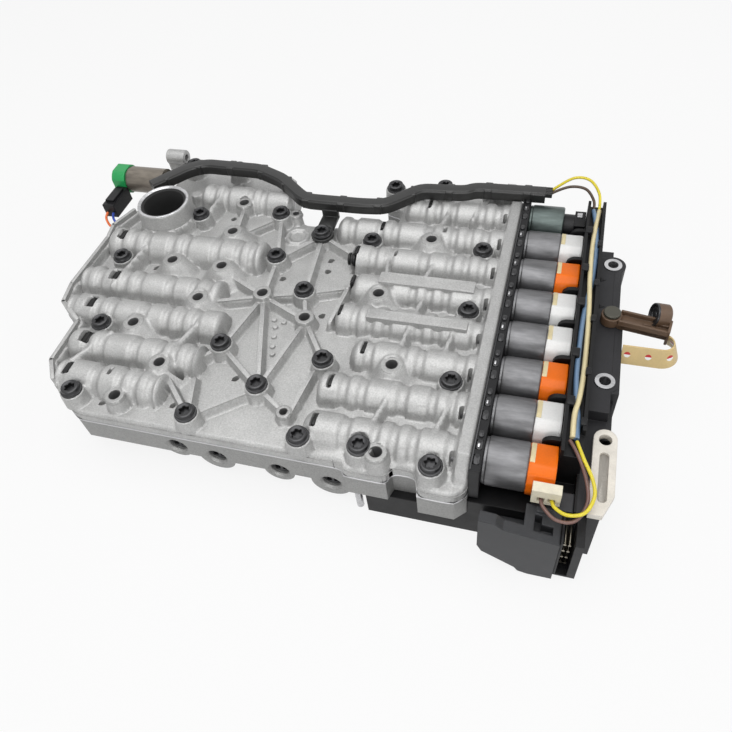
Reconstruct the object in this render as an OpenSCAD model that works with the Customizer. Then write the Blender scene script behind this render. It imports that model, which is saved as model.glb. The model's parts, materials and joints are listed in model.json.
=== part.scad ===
// Electro-hydraulic valve body of an automatic transmission, lying pan side up.
// X runs along the valve bores towards the solenoids, Y towards the back, Z up.
// The origin is the middle of the cast support land on the underside.

/* [Levels] */
// Height of the split between the two castings above the rest plane
split_z = 40; // [38:0.5:44]
// Thickness of the cast deck above the split
deck_t = 8; // [7:0.5:9]
// Height of the valve bore axes above the split
bore_h = 9.5; // [9.2:0.1:10.5]
// Height of the bolt bosses above the split
boss_h = 17; // [15:0.5:18]
// Thickness of the separator plate between the castings
plate_t = 1; // [0.6:0.1:2]
// Thickness of the lower casting's slab
slab_t = 17; // [14:0.5:20]

/* [Valve banks] */
// Distance between neighbouring solenoid valves
pitch = 27.9; // [27.5:0.1:30]
// Place of the rearmost solenoid bore along Y
bank_y = 107.5; // [105:0.5:109]
// Radius of every valve bore
bore_r = 6.2; // [5.5:0.1:6.6]
// Radial running clearance of a spool in its bore
spool_gap = 0.2; // [0.15:0.05:0.3]
// Radius of the cast bulge round a bore
bulge_r = 10.4; // [9.5:0.1:11]
// Travel of a valve spool before its stop stem meets the end of the bore
spool_travel = 3; // [1:0.5:4]
// Free length of a valve spring as fitted
spring_len = 12; // [10:0.5:14]
// Right edge of the castings
edge_x = 120; // [118:0.5:124]

/* [Bolts] */
// Radius of a cover bolt's shank
shank_r = 2.9; // [2.4:0.1:3]
// Clearance of the shank in the upper casting
shank_gap = 0.4; // [0.2:0.1:0.6]
// Radius of a cover bolt's flange head
head_r = 5.5; // [5:0.1:6.2]
// Height of a cover bolt's head
head_h = 6; // [4.5:0.5:7]
// Radius of the through holes for the case bolts
case_hole_r = 3.5; // [3:0.1:3.8]

/* [Suction port] */
// Radius of the suction port's bore
port_r = 16.5; // [14:0.5:18]
// Wall of the suction port
port_wall = 2.8; // [2:0.1:4]
// Height of the suction port above the split
port_h = 32; // [26:0.5:36]
// Thickness of the rubber seal in the port
seal_t = 1.6; // [1:0.1:3]

/* [Solenoids] */
// Radius of a solenoid can
can_r = 13.2; // [12:0.1:13.6]
// Length of a solenoid can
can_l = 23; // [20:0.5:25]
// Length of a solenoid's plastic cap
cap_l = 14; // [11:0.5:16]
// Thickness of the retainer strip between castings and cans
strip_t = 5.6; // [4:0.2:8]

/* [Module] */
// Width of the wire channel beside the caps
channel_w = 10; // [8:0.5:12]
// Width of the module's outer flange
flange_w = 12; // [11:0.5:14]
// Height of the outer flange's top face
flange_z = 53; // [50:0.5:56]
// Outer radius of an aluminium sleeve
sleeve_r = 5.5; // [5:0.1:6]
// Radius of a sleeve's hole
sleeve_hole_r = 3.25; // [2.8:0.05:3.6]
// Distance between the two sleeves
sleeve_pitch = 96; // [80:1:110]

/* [Latch and sensor] */
// Length of the latch slide
latch_l = 52; // [44:1:56]
// Width of the latch slide
latch_w = 12.2; // [10:0.2:13]
// Thickness of the latch slide
latch_t = 4; // [3:0.2:5]
// Radius of the finger hole in the latch slide
latch_hole_r = 3.4; // [2.5:0.1:4]
// Side clearance of the latch slide in its guide
latch_gap = 0.35; // [0.2:0.05:0.6]
// Radius of the sensor arm's pivot pin
pivot_r = 3; // [2.4:0.1:3.6]
// Clearance of the sensor arm on its pin
pivot_gap = 0.3; // [0.2:0.05:0.4]
// Length of the sensor arm from its pivot to its head
arm_l = 31; // [26:0.5:36]

/* [Leads] */
// Radius of a harness lead
lead_r = 0.9; // [0.7:0.1:1.1]
// Width of the cable duct
duct_w = 9.2; // [8:0.2:10]
// Height of the cable duct
duct_h = 8; // [6:0.2:9]

/* [Hidden] */
$fn = 48;
over = 0.5;
fit = 0.1;

deck_z = split_z + deck_t;
axis_z = split_z + bore_h;
boss_z = split_z + boss_h;
spot_t = 0.2;
seat_z = boss_z - spot_t;
head_z = seat_z + head_h;
slab_top = split_z - plate_t;
slab_z = slab_top - slab_t;
bank_count = 8;
front_y = -104;

// Casting outline seen from above, anticlockwise from the front left corner
outline = [
    [-120, front_y], [50, front_y], [52, -108], [76, -108], [78, -101], [92, -101], [94, -112],
    [114, -112], [edge_x, -106], [edge_x, 128], [112, 137], [42, 137], [24, 133], [18.5, 124], [21, 115],
    [34, 111], [34, 97],
    [26, 87], [-34, 85], [-46, 97], [-56, 118], [-60, 140], [-152, 142], [-158, 136],
    [-158, 92], [-170, 74], [-178, 54], [-175, 40], [-176, -10], [-172, -28], [-152, -42],
    [-151, -76], [-141, -90]
];
// Part of the outline that carries the raised lip, as first and last index
lip_first = 25;
lip_last = 32;
lip_w = 3;
lip_h = 6;

// Bores of the right bank: left end of the bulge and place of the clip slot along X
right_rows = [
    [38, 56], [-6, 28], [12, 17], [20, 22], [18, 22], [36, 45], [24, 33], [24, 32]
];
function right_y(k) = bank_y - pitch * k;
// Middle between row k and the next one towards the front
function between(k) = right_y(k) - pitch / 2;
bank_end = right_y(bank_count - 1);

// Bores of the left bank: place along Y, left end, right end, bulge radius and clip slot
left_rows = [
    [40.5, -172, -46, 12.2, -158], [0.8, -173, -62, 10.6, -143], [-26.3, -169, -50, 10.6, -147],
    [-55.5, -149, -52, 10.6, -134], [-80.8, -143, -66, 10.8, -132]
];
left_stop = 8;

plug_l = 7;
clip_t = 2;
clip_w = 9;
nose_in = 16;
land_l = 7;
stem_r = 3.4;
spool_r = bore_r - spool_gap;
face_x = edge_x + strip_t;
cap_x = face_x + can_l;
chan_x = cap_x + cap_l + 2;
flange_x = chan_x + channel_w;
spool_end = edge_x - nose_in - 0.5;
stop_l = spring_len - spool_travel;
stop_r = 2.4;

// Cover bolts on the deck
bolts = [
    [-112, 74], [-51, 84], [-13.7, 67.5], [-150, 21], [-38, 39], [-8, 10.3], [-132, -41],
    [24, between(1) - 1.2], [100, between(1)], [100, between(3)], [-122, -95], [-45, -43],
    [-10.5, -69.5], [-44, -97], [25.5, between(7) + 2.8], [22.3, between(5) + 2],
    [100, between(5)], [60, between(7) + 3.8], [100, between(7) - 0.2],
    [-144, 133], [-105, 133], [62, 130], [98, 130], [26, 125]
];
clip_bolt = 2;
clip_ring_h = 3;
clip_ring_r = 8;
head_gap = 0.5;

// Through holes for the case bolts with bell shaped bosses
bell_holes = [
    [-78, 57], [-109.3, 21.5], [-71.6, 21.5], [-75.3, -9.8], [-108.5, -38.5],
    [64.5, between(1) + 3.9], [42, between(3) + 3.6], [64.5, between(5) + 4], [-75.6, -66.3]
];
// Through holes for the case bolts with straight bosses
post_holes = [[-83.6, 92], [-34.8, 3.3], [0.2, -12.9], [-92.8, -93.5]];
// Small dowel and drain holes
small_holes = [[-41, 88], [11, -83.4], [70, -100]];
small_hole_r = 2.4;
post_r = 6.2;
// Cast post without a hole beside the suction port
plain_post = [-126.5, 98];
plain_post_r = 4.2;
// Drilled oil holes in the deck's floor and cast dots on it
floor_holes = [[-31, 27], [-3, 50], [-2, 39], [7, -2], [-30, -61.5], [-60, -88], [-105, -95], [-91, 83],
    [-127, 22.5]];
floor_hole_r = 1.7;
dots = [[-23, -11], [-16, -12], [-20, -17], [-18, -25], [-16, -33], [-14, -39]];
dot_r = 1.9;
dot_h = 1.1;
// Cast ring with eight sides round a blind plug
octagon = [-35, 71];
octagon_r = 9;
octagon_w = 2;
octagon_h = 1.5;
// Cast stop block behind the cable duct
stop_block = [106.5, 128];
stop_block_size = [8.5, 6.5, 15];

hub = post_holes[1];
hub_b = post_holes[2];
// Cast ribs from boss to boss
ribs = [
    [hub, bell_holes[2]], [hub, bell_holes[3]], [hub, bolts[4]], [hub, bolts[5]], [hub, hub_b],
    [hub, bolts[11]], [hub, bolts[12]], [hub_b, bolts[12]], [hub_b, bolts[15]], [hub_b, bolts[5]],
    [bolts[11], bolts[12]], [bolts[12], bolts[13]], [bolts[12], small_holes[1]],
    [bolts[4], bolts[1]], [bolts[4], bolts[2]], [bolts[2], bolts[5]],
    [bolts[2], [16, 50]], [bolts[1], small_holes[0]], [bolts[1], bell_holes[0]],
    [post_holes[0], bell_holes[0]], [bolts[5], [19, 20]], [[19, 20], [16, -12]],
    [bolts[13], bell_holes[8]], [bolts[13], [-52, -70]], [bolts[11], [-58, -58]],
    [[14, -86], [18, -52]]
];
boss_draft = 0.06;
rib_w = 2.4;
rib_h = 14.5;

// Tall fins that cross the bulges
fins = [
    [[-137, 32], [-142, -8]], [[-120, -48], [-134, -74]], [[-64, -22], [-74, -58]],
    [[-103, 106], [-106, 80]], [[38, 58], [42, 34]], [[70, 44], [66, 26]], [[72, 106], [66, 80]],
    [[96, 124], [88, 96]], [[70, -54], [64, -80]], [[104, -54], [98, -82]], [[70, 12], [66, -24]],
    [[96, 4], [92, -28]]
];
fin_h = 19;

port = [-135.5, 67.8];
port_top = split_z + port_h;

// Bores of the lower casting that open at the front: place along X and Z, bulge radius
front_bores = [[-56, 28.9, 9.5], [-30.8, 24.9, 11.7], [9.2, 23.1, 9.5], [40.9, 20.6, 12]];
front_bore_r = 5.5;
mouth_c = 1.5;
plug_in = 3.2;
front_bore_l = 150;

// Oil transfer posts under the lower casting, standing on the rest plane
transfer_posts = [[-135, 60], [-120, -60], [-20, 62], [-30, -74]];
transfer_r = 13;
transfer_bore_r = 8;
land_r = 15;

// Stub pin that locates the unit in its case
dowel = [56.4, -103.2];
dowel_r = 2.2;
dowel_in = 8;

// Ends of the module and of the retainer strip along Y
module_front = bank_end - 18.2;
module_back = 118;
strip_front = bank_end - 16.2;
strip_back = 115;
tray_z = slab_z;
tab_l = 11;
tab_h = 10;
tray_x = 62;
cradle_z = 34;
chan_z = 60.2;
wide_front = -34;
wide_back = 27;
wide_w = 4.4;
guide_r = 5;
sleeve_x = 183;
sleeve_y = 69.5;
pivot = [183.5, 20];
arm_z = flange_z + 0.3;
arm_t = 9;
arm_head_r = 9.5;
arm_head_y = 13.4;
arm_wall = 5;
latch_x = 186;
latch_y = -56;
latch_z = 45;

park_y = 110.6;
park_z = 56;
park_r = 10;
park_x = -158;
park_can_l = 33;
park_cap_l = 11;

duct_z = 61;
// Centre line of the cable duct
duct_path = [
    [-159, 91.5], [-147.5, 105.5], [-138, 117], [-126, 123], [-80, 122], [-58, 112.5], [-36, 94],
    [-30, 91.5], [10, 91.5], [26, 93], [36, 102.5], [48, 113.8], [79, 115.4], [86, 119.8],
    [134, 120.8]
];

// Routes of the harness leads, chosen by hand
loop_a = [[162, bank_end - 15.4, 50.5], [163.5, bank_end - 20.7, 50.8], [170, -112.5, 52.2],
    [178, -110.5, 53.8], [181.7, -102, 56], [180, -94, 58.5], [174.5, -85, 62.2], [170.6, -75.4, 62]];
loop_b = [[156.8, bank_end - 15.4, 50.5], [158, bank_end - 21, 50.2], [165, -114.8, 49.6],
    [174, -113.8, 49.8], [179, -104.5, 52.8], [177.3, -94, 56.6], [172, -84.2, 62.2], [167, -75.4, 62]];
arc_a = [[135.2, 123, 64], [142, 125, 70], [152, 127, 76], [162, 126, 75.5], [169, 121, 69],
    [170.6, 113.3, 61.9]];
arc_b = [[135.2, 120, 64], [140, 121.5, 67.5], [150, 123, 71.5], [160, 121.5, 71.5], [166, 117.5, 66],
    [167, 113.3, 61.9]];
park_a = [[-197, 75.7, 49], [-197, 71, 46], [-190, 65.5, 43], [-181, 66.5, 43], [-172.4, 69.6, 44]];
park_b = [[-192, 75.7, 49], [-192, 73, 45], [-187, 70, 41.8], [-180, 70.5, 41.5], [-171.2, 72.4, 42]];
chan_a = [[170.6, 112, 61.7], [170.4, 80, 61.7], [170.7, 40, 61.7], [170.4, 0, 61.7],
    [170.7, -40, 61.7], [170.6, -74, 61.7]];
chan_b = [[167, 112, 61.7], [167.2, 80, 61.7], [166.9, 40, 61.7], [167.2, 0, 61.7],
    [166.9, -40, 61.7], [167, -74, 61.7]];

can_nodes = [for (k = [1:bank_count]) str("solenoid_can_", k)];
cap_nodes = [for (k = [1:bank_count]) str("solenoid_cap_", k)];
pilot_nodes = [for (k = [1:bank_count]) str("pilot_spool_", k)];
shift_nodes = [for (k = [1:len(left_rows)]) str("shift_spool_", k)];

// Running total of the lengths before step i in a list of [length, radius] steps
function start_of(steps, i) = i <= 0 ? 0 : steps[i - 1][0] + start_of(steps, i - 1);

// Half section of a stepped round bar along its axis, with a small slope at each step
function step_profile(steps, slope) = concat(
    [[0, 0]],
    [for (i = [0:len(steps) - 1], e = [0, 1])
        [steps[i][1], start_of(steps, i + e) + (e == 0 ? slope : -slope)]],
    [[0, start_of(steps, len(steps))]]
);

// A stepped round bar lying along X from the given point
module bar_x(at, steps, slope) {
    translate(at) rotate([0, 90, 0]) rotate_extrude() polygon(step_profile(steps, slope));
}

module rod_x(at, r, l) {
    translate(at) rotate([0, 90, 0]) cylinder(r = r, h = l);
}

module rod_y(at, r, l) {
    translate(at) rotate([-90, 0, 0]) cylinder(r = r, h = l);
}

// A cast rib with sloping sides from a to b, rising to z1
module rib(a, b, z1, w) {
    d = b - a;
    base = deck_z - 2;
    side = w / 2 + (z1 - base) * 0.09;
    translate(a) rotate([0, 0, atan2(d.y, d.x)]) rotate([90, 0, 90]) linear_extrude(norm(d))
        polygon([[-side, base], [side, base], [w / 2, z1], [-w / 2, z1]]);
}

// A boss with drafted sides on the deck
module boss(p, r, z1) {
    h = z1 - split_z;
    translate([p.x, p.y, split_z]) cylinder(r1 = r + h * boss_draft, r2 = r, h = h);
}

// A bell shaped boss whose skirt runs out over the deck
module bell(p) {
    h = boss_z - deck_z;
    translate([p.x, p.y, deck_z - 1]) rotate_extrude()
        polygon([[0, 0], [13.5, 0], [13, 1.5], [9.8, h * 0.45 + 1], [7.6, h * 0.8 + 1],
            [6.6, h + 1], [0, h + 1]]);
}

// Rings of a cast bulge: alternating lengths and radii until the length is used up
ring_step = [[13, 0], [8, -1.1], [10, 0.3], [7, -1.2], [12, 0], [9, -0.9], [7, 0.4], [10, -1]];
function rings(l, r, first) = [
    for (i = 0, left = l; left > 0;
        left = left - ring_step[(i + first) % len(ring_step)][0], i = i + 1)
        [min(left, ring_step[(i + first) % len(ring_step)][0]) + (left < 3 ? 2.4 : 0),
            r + ring_step[(i + first) % len(ring_step)][1]]
];

module bulge(x0, x1, y, r, first) {
    bar_x([x0, y, axis_z], rings(x1 - x0, r, first), 1);
}

module deck_plate(z0, z1) {
    translate([0, 0, z0]) linear_extrude(z1 - z0) polygon(outline);
}

module bulges() {
    intersection() {
        union() {
            for (k = [0:bank_count - 1])
                bulge(right_rows[k][0], edge_x - 6, right_y(k), bulge_r, k * 3);
            for (k = [0:len(left_rows) - 1])
                bulge(left_rows[k][1], left_rows[k][2], left_rows[k][0], left_rows[k][3], k * 2);
            bulge(-124, -44, 102, 11.3, 1);
        }
        translate([-200, -130, deck_z - 3]) cube([400, 290, 60]);
    }
}

// Lip along the left edge of the deck
module lip() {
    n = len(outline);
    for (i = [lip_first:lip_last - 1]) {
        a = outline[i];
        b = outline[(i + 1) % n];
        d = (b - a) / norm(b - a);
        in = [-d.y, d.x] * (lip_w / 2 + 1.4);
        rib(a + in, b + in, deck_z + lip_h, lip_w);
    }
}

// Flat topped rim along the right edge with a sloping front end
module right_rim() {
    w = 7.5;
    translate([edge_x, 0, 0]) rotate([0, -90, 0]) linear_extrude(w)
        polygon([[deck_z - 2, -106], [deck_z + 3, -104], [deck_z + 14, -94], [deck_z + 14, 114],
            [deck_z - 2, 116]]);
}

module lettering_pads() {
    for (k = [3, 4])
        translate([40, right_y(k) - 5, axis_z]) cube([68, 11, bulge_r + 1.4]);
}

module bore_cuts() {
    for (k = [0:bank_count - 1]) {
        x0 = right_rows[k][1] - 5;
        rod_x([x0, right_y(k), axis_z], bore_r, edge_x - x0 + 1);
        translate([right_rows[k][1] - clip_t / 2 - fit, right_y(k) - clip_w / 2, axis_z])
            cube([clip_t + 2 * fit, clip_w, bulge_r + 3]);
    }
    for (k = [0:len(left_rows) - 1]) {
        row = left_rows[k];
        rod_x([row[1] - 20, row[0], axis_z], bore_r, row[2] - left_stop - row[1] + 20);
        translate([row[4] - 3, row[0] - clip_w / 2, axis_z]) cube([6, clip_w, row[3] + 3]);
    }
}

// Narrow slits beside the bores along the right rim
module rim_slits() {
    for (k = [0:bank_count - 1])
        translate([edge_x - 11, right_y(k) - 9.5, deck_z + 2]) cube([1, 5, 12]);
}

// Small cast forms that stand on the deck's floor
module floor_forms() {
    for (p = dots) translate([p.x, p.y, deck_z - 1]) cylinder(r = dot_r, h = dot_h + 1);
    translate([octagon.x, octagon.y, deck_z - 1]) rotate([0, 0, 22.5]) difference() {
        cylinder(r = octagon_r, h = octagon_h + 1, $fn = 8);
        translate([0, 0, -1]) cylinder(r = octagon_r - octagon_w, h = octagon_h + 3, $fn = 8);
    }
    translate([stop_block.x, stop_block.y, deck_z - 1]) cube(stop_block_size);
}

module valve_housing() {
    color("silver") difference() {
        union() {
            deck_plate(split_z, deck_z);
            bulges();
            lip();
            right_rim();
            lettering_pads();
            for (i = [0:len(bolts) - 1])
                boss(bolts[i], 7.2, i == clip_bolt ? boss_z - clip_ring_h : boss_z);
            for (p = bell_holes) bell(p);
            for (p = post_holes) boss(p, post_r, boss_z + 1);
            for (p = small_holes) boss(p, 4.6, boss_z - 1.5);
            boss(plain_post, plain_post_r, boss_z);
            for (r = ribs) rib(r[0], r[1], split_z + rib_h, rib_w);
            for (f = fins) rib(f[0], f[1], split_z + fin_h, rib_w);
            translate([port.x, port.y, deck_z - 2])
                cylinder(r1 = port_r + port_wall + 2, r2 = port_r + port_wall, h = port_top - deck_z + 2);
            translate([-168, 134, deck_z - 2]) cube([16, 6, 12]);
            rod_x([-168, 137, deck_z + 13], 6, 16);
            floor_forms();
        }
        bore_cuts();
        rim_slits();
        for (i = [0:len(bolts) - 1]) translate([bolts[i].x, bolts[i].y, split_z - 1]) {
            cylinder(r = shank_r + shank_gap, h = 60);
            translate([0, 0, seat_z - split_z + 1 - (i == clip_bolt ? clip_ring_h : 0)])
                cylinder(r = (i == clip_bolt ? clip_ring_r : head_r) + head_gap, h = 30);
        }
        for (p = concat(bell_holes, post_holes))
            translate([p.x, p.y, split_z - 1]) cylinder(r = case_hole_r, h = 60);
        for (p = small_holes) translate([p.x, p.y, split_z + 3]) cylinder(r = small_hole_r, h = 60);
        for (p = floor_holes) translate([p.x, p.y, split_z + 2]) cylinder(r = floor_hole_r, h = deck_t);
        translate([port.x, port.y, split_z + 3]) cylinder(r = port_r, h = 60);
        rod_x([-170, 137, deck_z + 13], 2.6, 20);
    }
}

module separator_plate() {
    color("lightslategray") difference() {
        deck_plate(slab_top, split_z);
        for (p = bolts) translate([p.x, p.y, slab_top - 1]) cylinder(r = shank_r + shank_gap, h = 5);
        for (p = concat(bell_holes, post_holes))
            translate([p.x, p.y, slab_top - 1]) cylinder(r = case_hole_r, h = 5);
    }
}

module channel_housing() {
    color("gainsboro") difference() {
        union() {
            deck_plate(slab_z, slab_top);
            intersection() {
                for (b = front_bores) rod_y([b.x, front_y, b[1]], b[2], front_bore_l);
                translate([-150, front_y, 0]) cube([300, 200, slab_z + 2]);
            }
            for (p = transfer_posts) translate([p.x, p.y, 0]) cylinder(r = transfer_r, h = slab_z + 1);
            cylinder(r = land_r, h = slab_z + 1);
        }
        for (b = front_bores) {
            rod_y([b.x, front_y - 1, b[1]], front_bore_r, 60);
            translate([b.x, front_y, b[1]]) rotate([-90, 0, 0]) translate([0, 0, -over])
                cylinder(r1 = front_bore_r + mouth_c + over, r2 = front_bore_r, h = mouth_c + over);
        }
        for (p = transfer_posts) translate([p.x, p.y, -1]) cylinder(r = transfer_bore_r, h = slab_z - 2);
        for (p = bolts) translate([p.x, p.y, slab_z + 3]) cylinder(r = shank_r + fit, h = 30);
        translate([dowel.x, dowel.y, slab_z - 1]) cylinder(r = dowel_r + fit, h = dowel_in + 1 + fit);
        for (p = concat(bell_holes, post_holes))
            translate([p.x, p.y, -1]) cylinder(r = case_hole_r, h = 60);
    }
}

module channel_plugs() {
    color("gray") for (b = front_bores) difference() {
        rod_y([b.x, front_y + plug_in, b[1]], front_bore_r - fit / 2, 8);
        for (side = [-1, 1])
            translate([b.x + side * 2.3 - 1.6, front_y + plug_in - 1, b[1] - 2.8]) cube([3.2, 4, 5.6]);
    }
}

module retainer_strip() {
    color("black") difference() {
        translate([edge_x, strip_front, cradle_z + 2]) cube([strip_t, strip_back - strip_front, 27]);
        for (k = [0:bank_count - 1]) {
            rod_x([edge_x - 1, right_y(k), axis_z], bore_r + 1, strip_t + 2);
            translate([edge_x + 1.2, right_y(k) - 3, axis_z + bulge_r]) cube([strip_t - 2.4, 6, 12]);
            translate([edge_x + 1.2, right_y(k) - 12, axis_z + bulge_r]) cube([strip_t - 2.4, 6, 12]);
        }
    }
}

module strip_springs() {
    color("silver") for (k = [0:bank_count - 1])
        translate([edge_x + 1.6, right_y(k) - 11, axis_z + bulge_r]) cube([strip_t - 3.2, 4, 2]);
}

module solenoid_can(k) {
    color("dimgray") union() {
        rod_x([edge_x - nose_in, right_y(k), axis_z], bore_r - spool_gap, nose_in + strip_t + 1);
        bar_x([face_x, right_y(k), axis_z], [[2, can_r - 0.6], [can_l - 4, can_r], [2, can_r - 0.6]], 0.3);
    }
}

neck_r = 8.8;
cap_colours = ["#202020", "white", "darkorange", "white", "white", "darkorange", "white", "darkorange"];
module solenoid_cap(k) {
    color(cap_colours[k]) {
        if (k == 0) union() {
            rod_x([cap_x, right_y(k), axis_z], neck_r, cap_l - 4);
            translate([cap_x + cap_l / 2, right_y(k) - neck_r, axis_z - neck_r])
                cube([cap_l / 2, 2 * neck_r - 2, 2 * neck_r]);
        }
        else intersection() {
            rod_x([cap_x, right_y(k), axis_z], can_r - 0.4, cap_l);
            translate([cap_x, right_y(k) - 12.4, axis_z - 11]) cube([cap_l, 24.8, 22.6]);
        }
    }
}

module bobbin_tabs() {
    color("wheat") for (k = [1:bank_count - 1])
        translate([cap_x + 0.4, right_y(k) - 2, axis_z + 11.6]) cube([2.6, 9, 1]);
}

module pilot_spool(k) {
    x0 = right_rows[k][1] + clip_t / 2 + plug_l + spring_len + 0.6;
    l = spool_end - x0;
    stem = (l - 3 * land_l) / 2;
    color("slategray")
        bar_x([x0 - stop_l, right_y(k), axis_z],
            [[stop_l, stop_r], [land_l, spool_r], [stem, stem_r], [land_l, spool_r], [stem, stem_r],
                [land_l, spool_r]], 0.2);
}

function shift_x0(k) = left_rows[k][4] + clip_t / 2 + plug_l + 0.4;
function shift_x1(k) = left_rows[k][2] - left_stop - spring_len;
module shift_spool(k) {
    l = shift_x1(k) - shift_x0(k);
    stem = (l - 4 * land_l) / 3;
    color("slategray")
        bar_x([shift_x0(k), left_rows[k][0], axis_z],
            [[land_l, spool_r], [stem, stem_r], [land_l, spool_r], [stem, stem_r], [land_l, spool_r],
                [stem, stem_r], [land_l, spool_r], [stop_l, stop_r]], 0.2);
}

// Rings of points for a tube of n sides along a list of points
function unit(v) = v / norm(v);
function tangent(p, i) = unit(p[min(i + 1, len(p) - 1)] - p[max(i - 1, 0)]);
function ring(c, t, r, n) =
    let (u = unit(cross(t, [0.31, 0.23, 0.92])), v = cross(t, u))
    [for (j = [0:n - 1]) c + r * (cos(360 * j / n) * u + sin(360 * j / n) * v)];

module tube(p, r, n) {
    m = len(p);
    polyhedron(
        points = [for (i = [0:m - 1]) each ring(p[i], tangent(p, i), r, n)],
        faces = concat(
            [[for (j = [0:n - 1]) j]],
            [for (i = [0:m - 2], j = [0:n - 1]) each [
                [i * n + j, (i + 1) * n + j, (i + 1) * n + (j + 1) % n],
                [i * n + j, (i + 1) * n + (j + 1) % n, i * n + (j + 1) % n]]],
            [[for (j = [n - 1:-1:0]) (m - 1) * n + j]]
        )
    );
}

// A smooth route through the given points
function blend(a, b, c, d, t) =
    (2 * b + (c - a) * t + (2 * a - 5 * b + 4 * c - d) * t * t + (3 * b - a - 3 * c + d) * t * t * t) / 2;
function route(p, n) = concat(
    [for (i = [0:len(p) - 2], s = [0:n - 1])
        blend(p[max(i - 1, 0)], p[i], p[i + 1], p[min(i + 2, len(p) - 1)], s / n)],
    [p[len(p) - 1]]
);

spring_r = 4.4;
spring_wire_r = 0.55;
spring_turns = 4;
module coil(at) {
    l = spring_len - 2 * spring_wire_r - 0.4;
    steps = spring_turns * 8;
    translate(at) tube([for (i = [0:steps])
        [spring_wire_r + 0.2 + l * i / steps, spring_r * cos(45 * i), spring_r * sin(45 * i)]],
        spring_wire_r, 5);
}

module valve_springs() {
    color("gray") {
        for (k = [0:bank_count - 1])
            coil([right_rows[k][1] + clip_t / 2 + plug_l + 0.4, right_y(k), axis_z]);
        for (k = [0:len(left_rows) - 1]) coil([shift_x1(k), left_rows[k][0], axis_z]);
    }
}

module bore_plugs() {
    color("lightgray") {
        for (k = [0:bank_count - 1])
            rod_x([right_rows[k][1] + clip_t / 2 + fit, right_y(k), axis_z], bore_r - fit, plug_l);
        for (k = [0:len(left_rows) - 1])
            rod_x([left_rows[k][4] + clip_t / 2 + fit, left_rows[k][0], axis_z], bore_r - fit, plug_l);
    }
}

module clip_plate(x, y, r) {
    translate([x - clip_t / 2, y - clip_w / 2 + fit, axis_z - 2])
        cube([clip_t, clip_w - 2 * fit, r + 1]);
}

module retaining_clips() {
    color("black") {
        for (k = [0:bank_count - 1]) clip_plate(right_rows[k][1], right_y(k), bulge_r);
        for (k = [0:len(left_rows) - 1])
            clip_plate(left_rows[k][4], left_rows[k][0], left_rows[k][3]);
    }
}

module suction_seal() {
    color("black") translate([port.x, port.y, 0]) rotate_extrude()
        polygon([[port_r - fit, split_z + 3 + fit], [port_r - fit, port_top - 1],
            [port_r - seal_t, port_top - 2], [port_r - seal_t, split_z + 6],
            [port_r - seal_t - 2, split_z + 3 + fit]]);
}

// Six lobed drive socket
module lobed_socket(r, h) {
    linear_extrude(h) polygon([for (i = [0:11]) (i % 2 == 0 ? r : r * 0.72) * [cos(30 * i), sin(30 * i)]]);
}

module cover_bolts() {
    tip = slab_z + 4;
    color("#303030") for (p = bolts) translate([p.x, p.y, 0]) difference() {
        rotate_extrude() polygon([[0, tip], [shank_r, tip], [shank_r, seat_z], [head_r, seat_z],
            [head_r, seat_z + 1.6], [head_r - 0.9, seat_z + 2.2], [head_r - 1.1, head_z - 0.8],
            [head_r - 1.9, head_z], [0, head_z]]);
        translate([0, 0, head_z - 3]) lobed_socket(2.8, 4);
    }
}

// Rounded bar seen from above between two points
module pill(a, b, r, h) {
    d = b - a;
    translate([a.x, a.y, 0]) cylinder(r = r, h = h);
    translate([b.x, b.y, 0]) cylinder(r = r, h = h);
    translate([a.x, a.y, 0]) rotate([0, 0, atan2(d.y, d.x)]) translate([0, -r, 0]) cube([norm(d), 2 * r, h]);
}

// Tab between two caps with a round corner on the can side
module cap_tab(y) {
    round_r = 6;
    tab_t = 2.6;
    x0 = chan_x - tab_l;
    translate([0, y + tab_t / 2, 0]) rotate([90, 0, 0]) linear_extrude(tab_t)
        polygon(concat(
            [[x0, cradle_z - 1], [chan_x + over, cradle_z - 1], [chan_x + over, axis_z + tab_h]],
            [for (a = [90:15:180])
                [x0 + round_r * (1 + cos(a)), axis_z + tab_h - round_r * (1 - sin(a))]]
        ));
}

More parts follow.
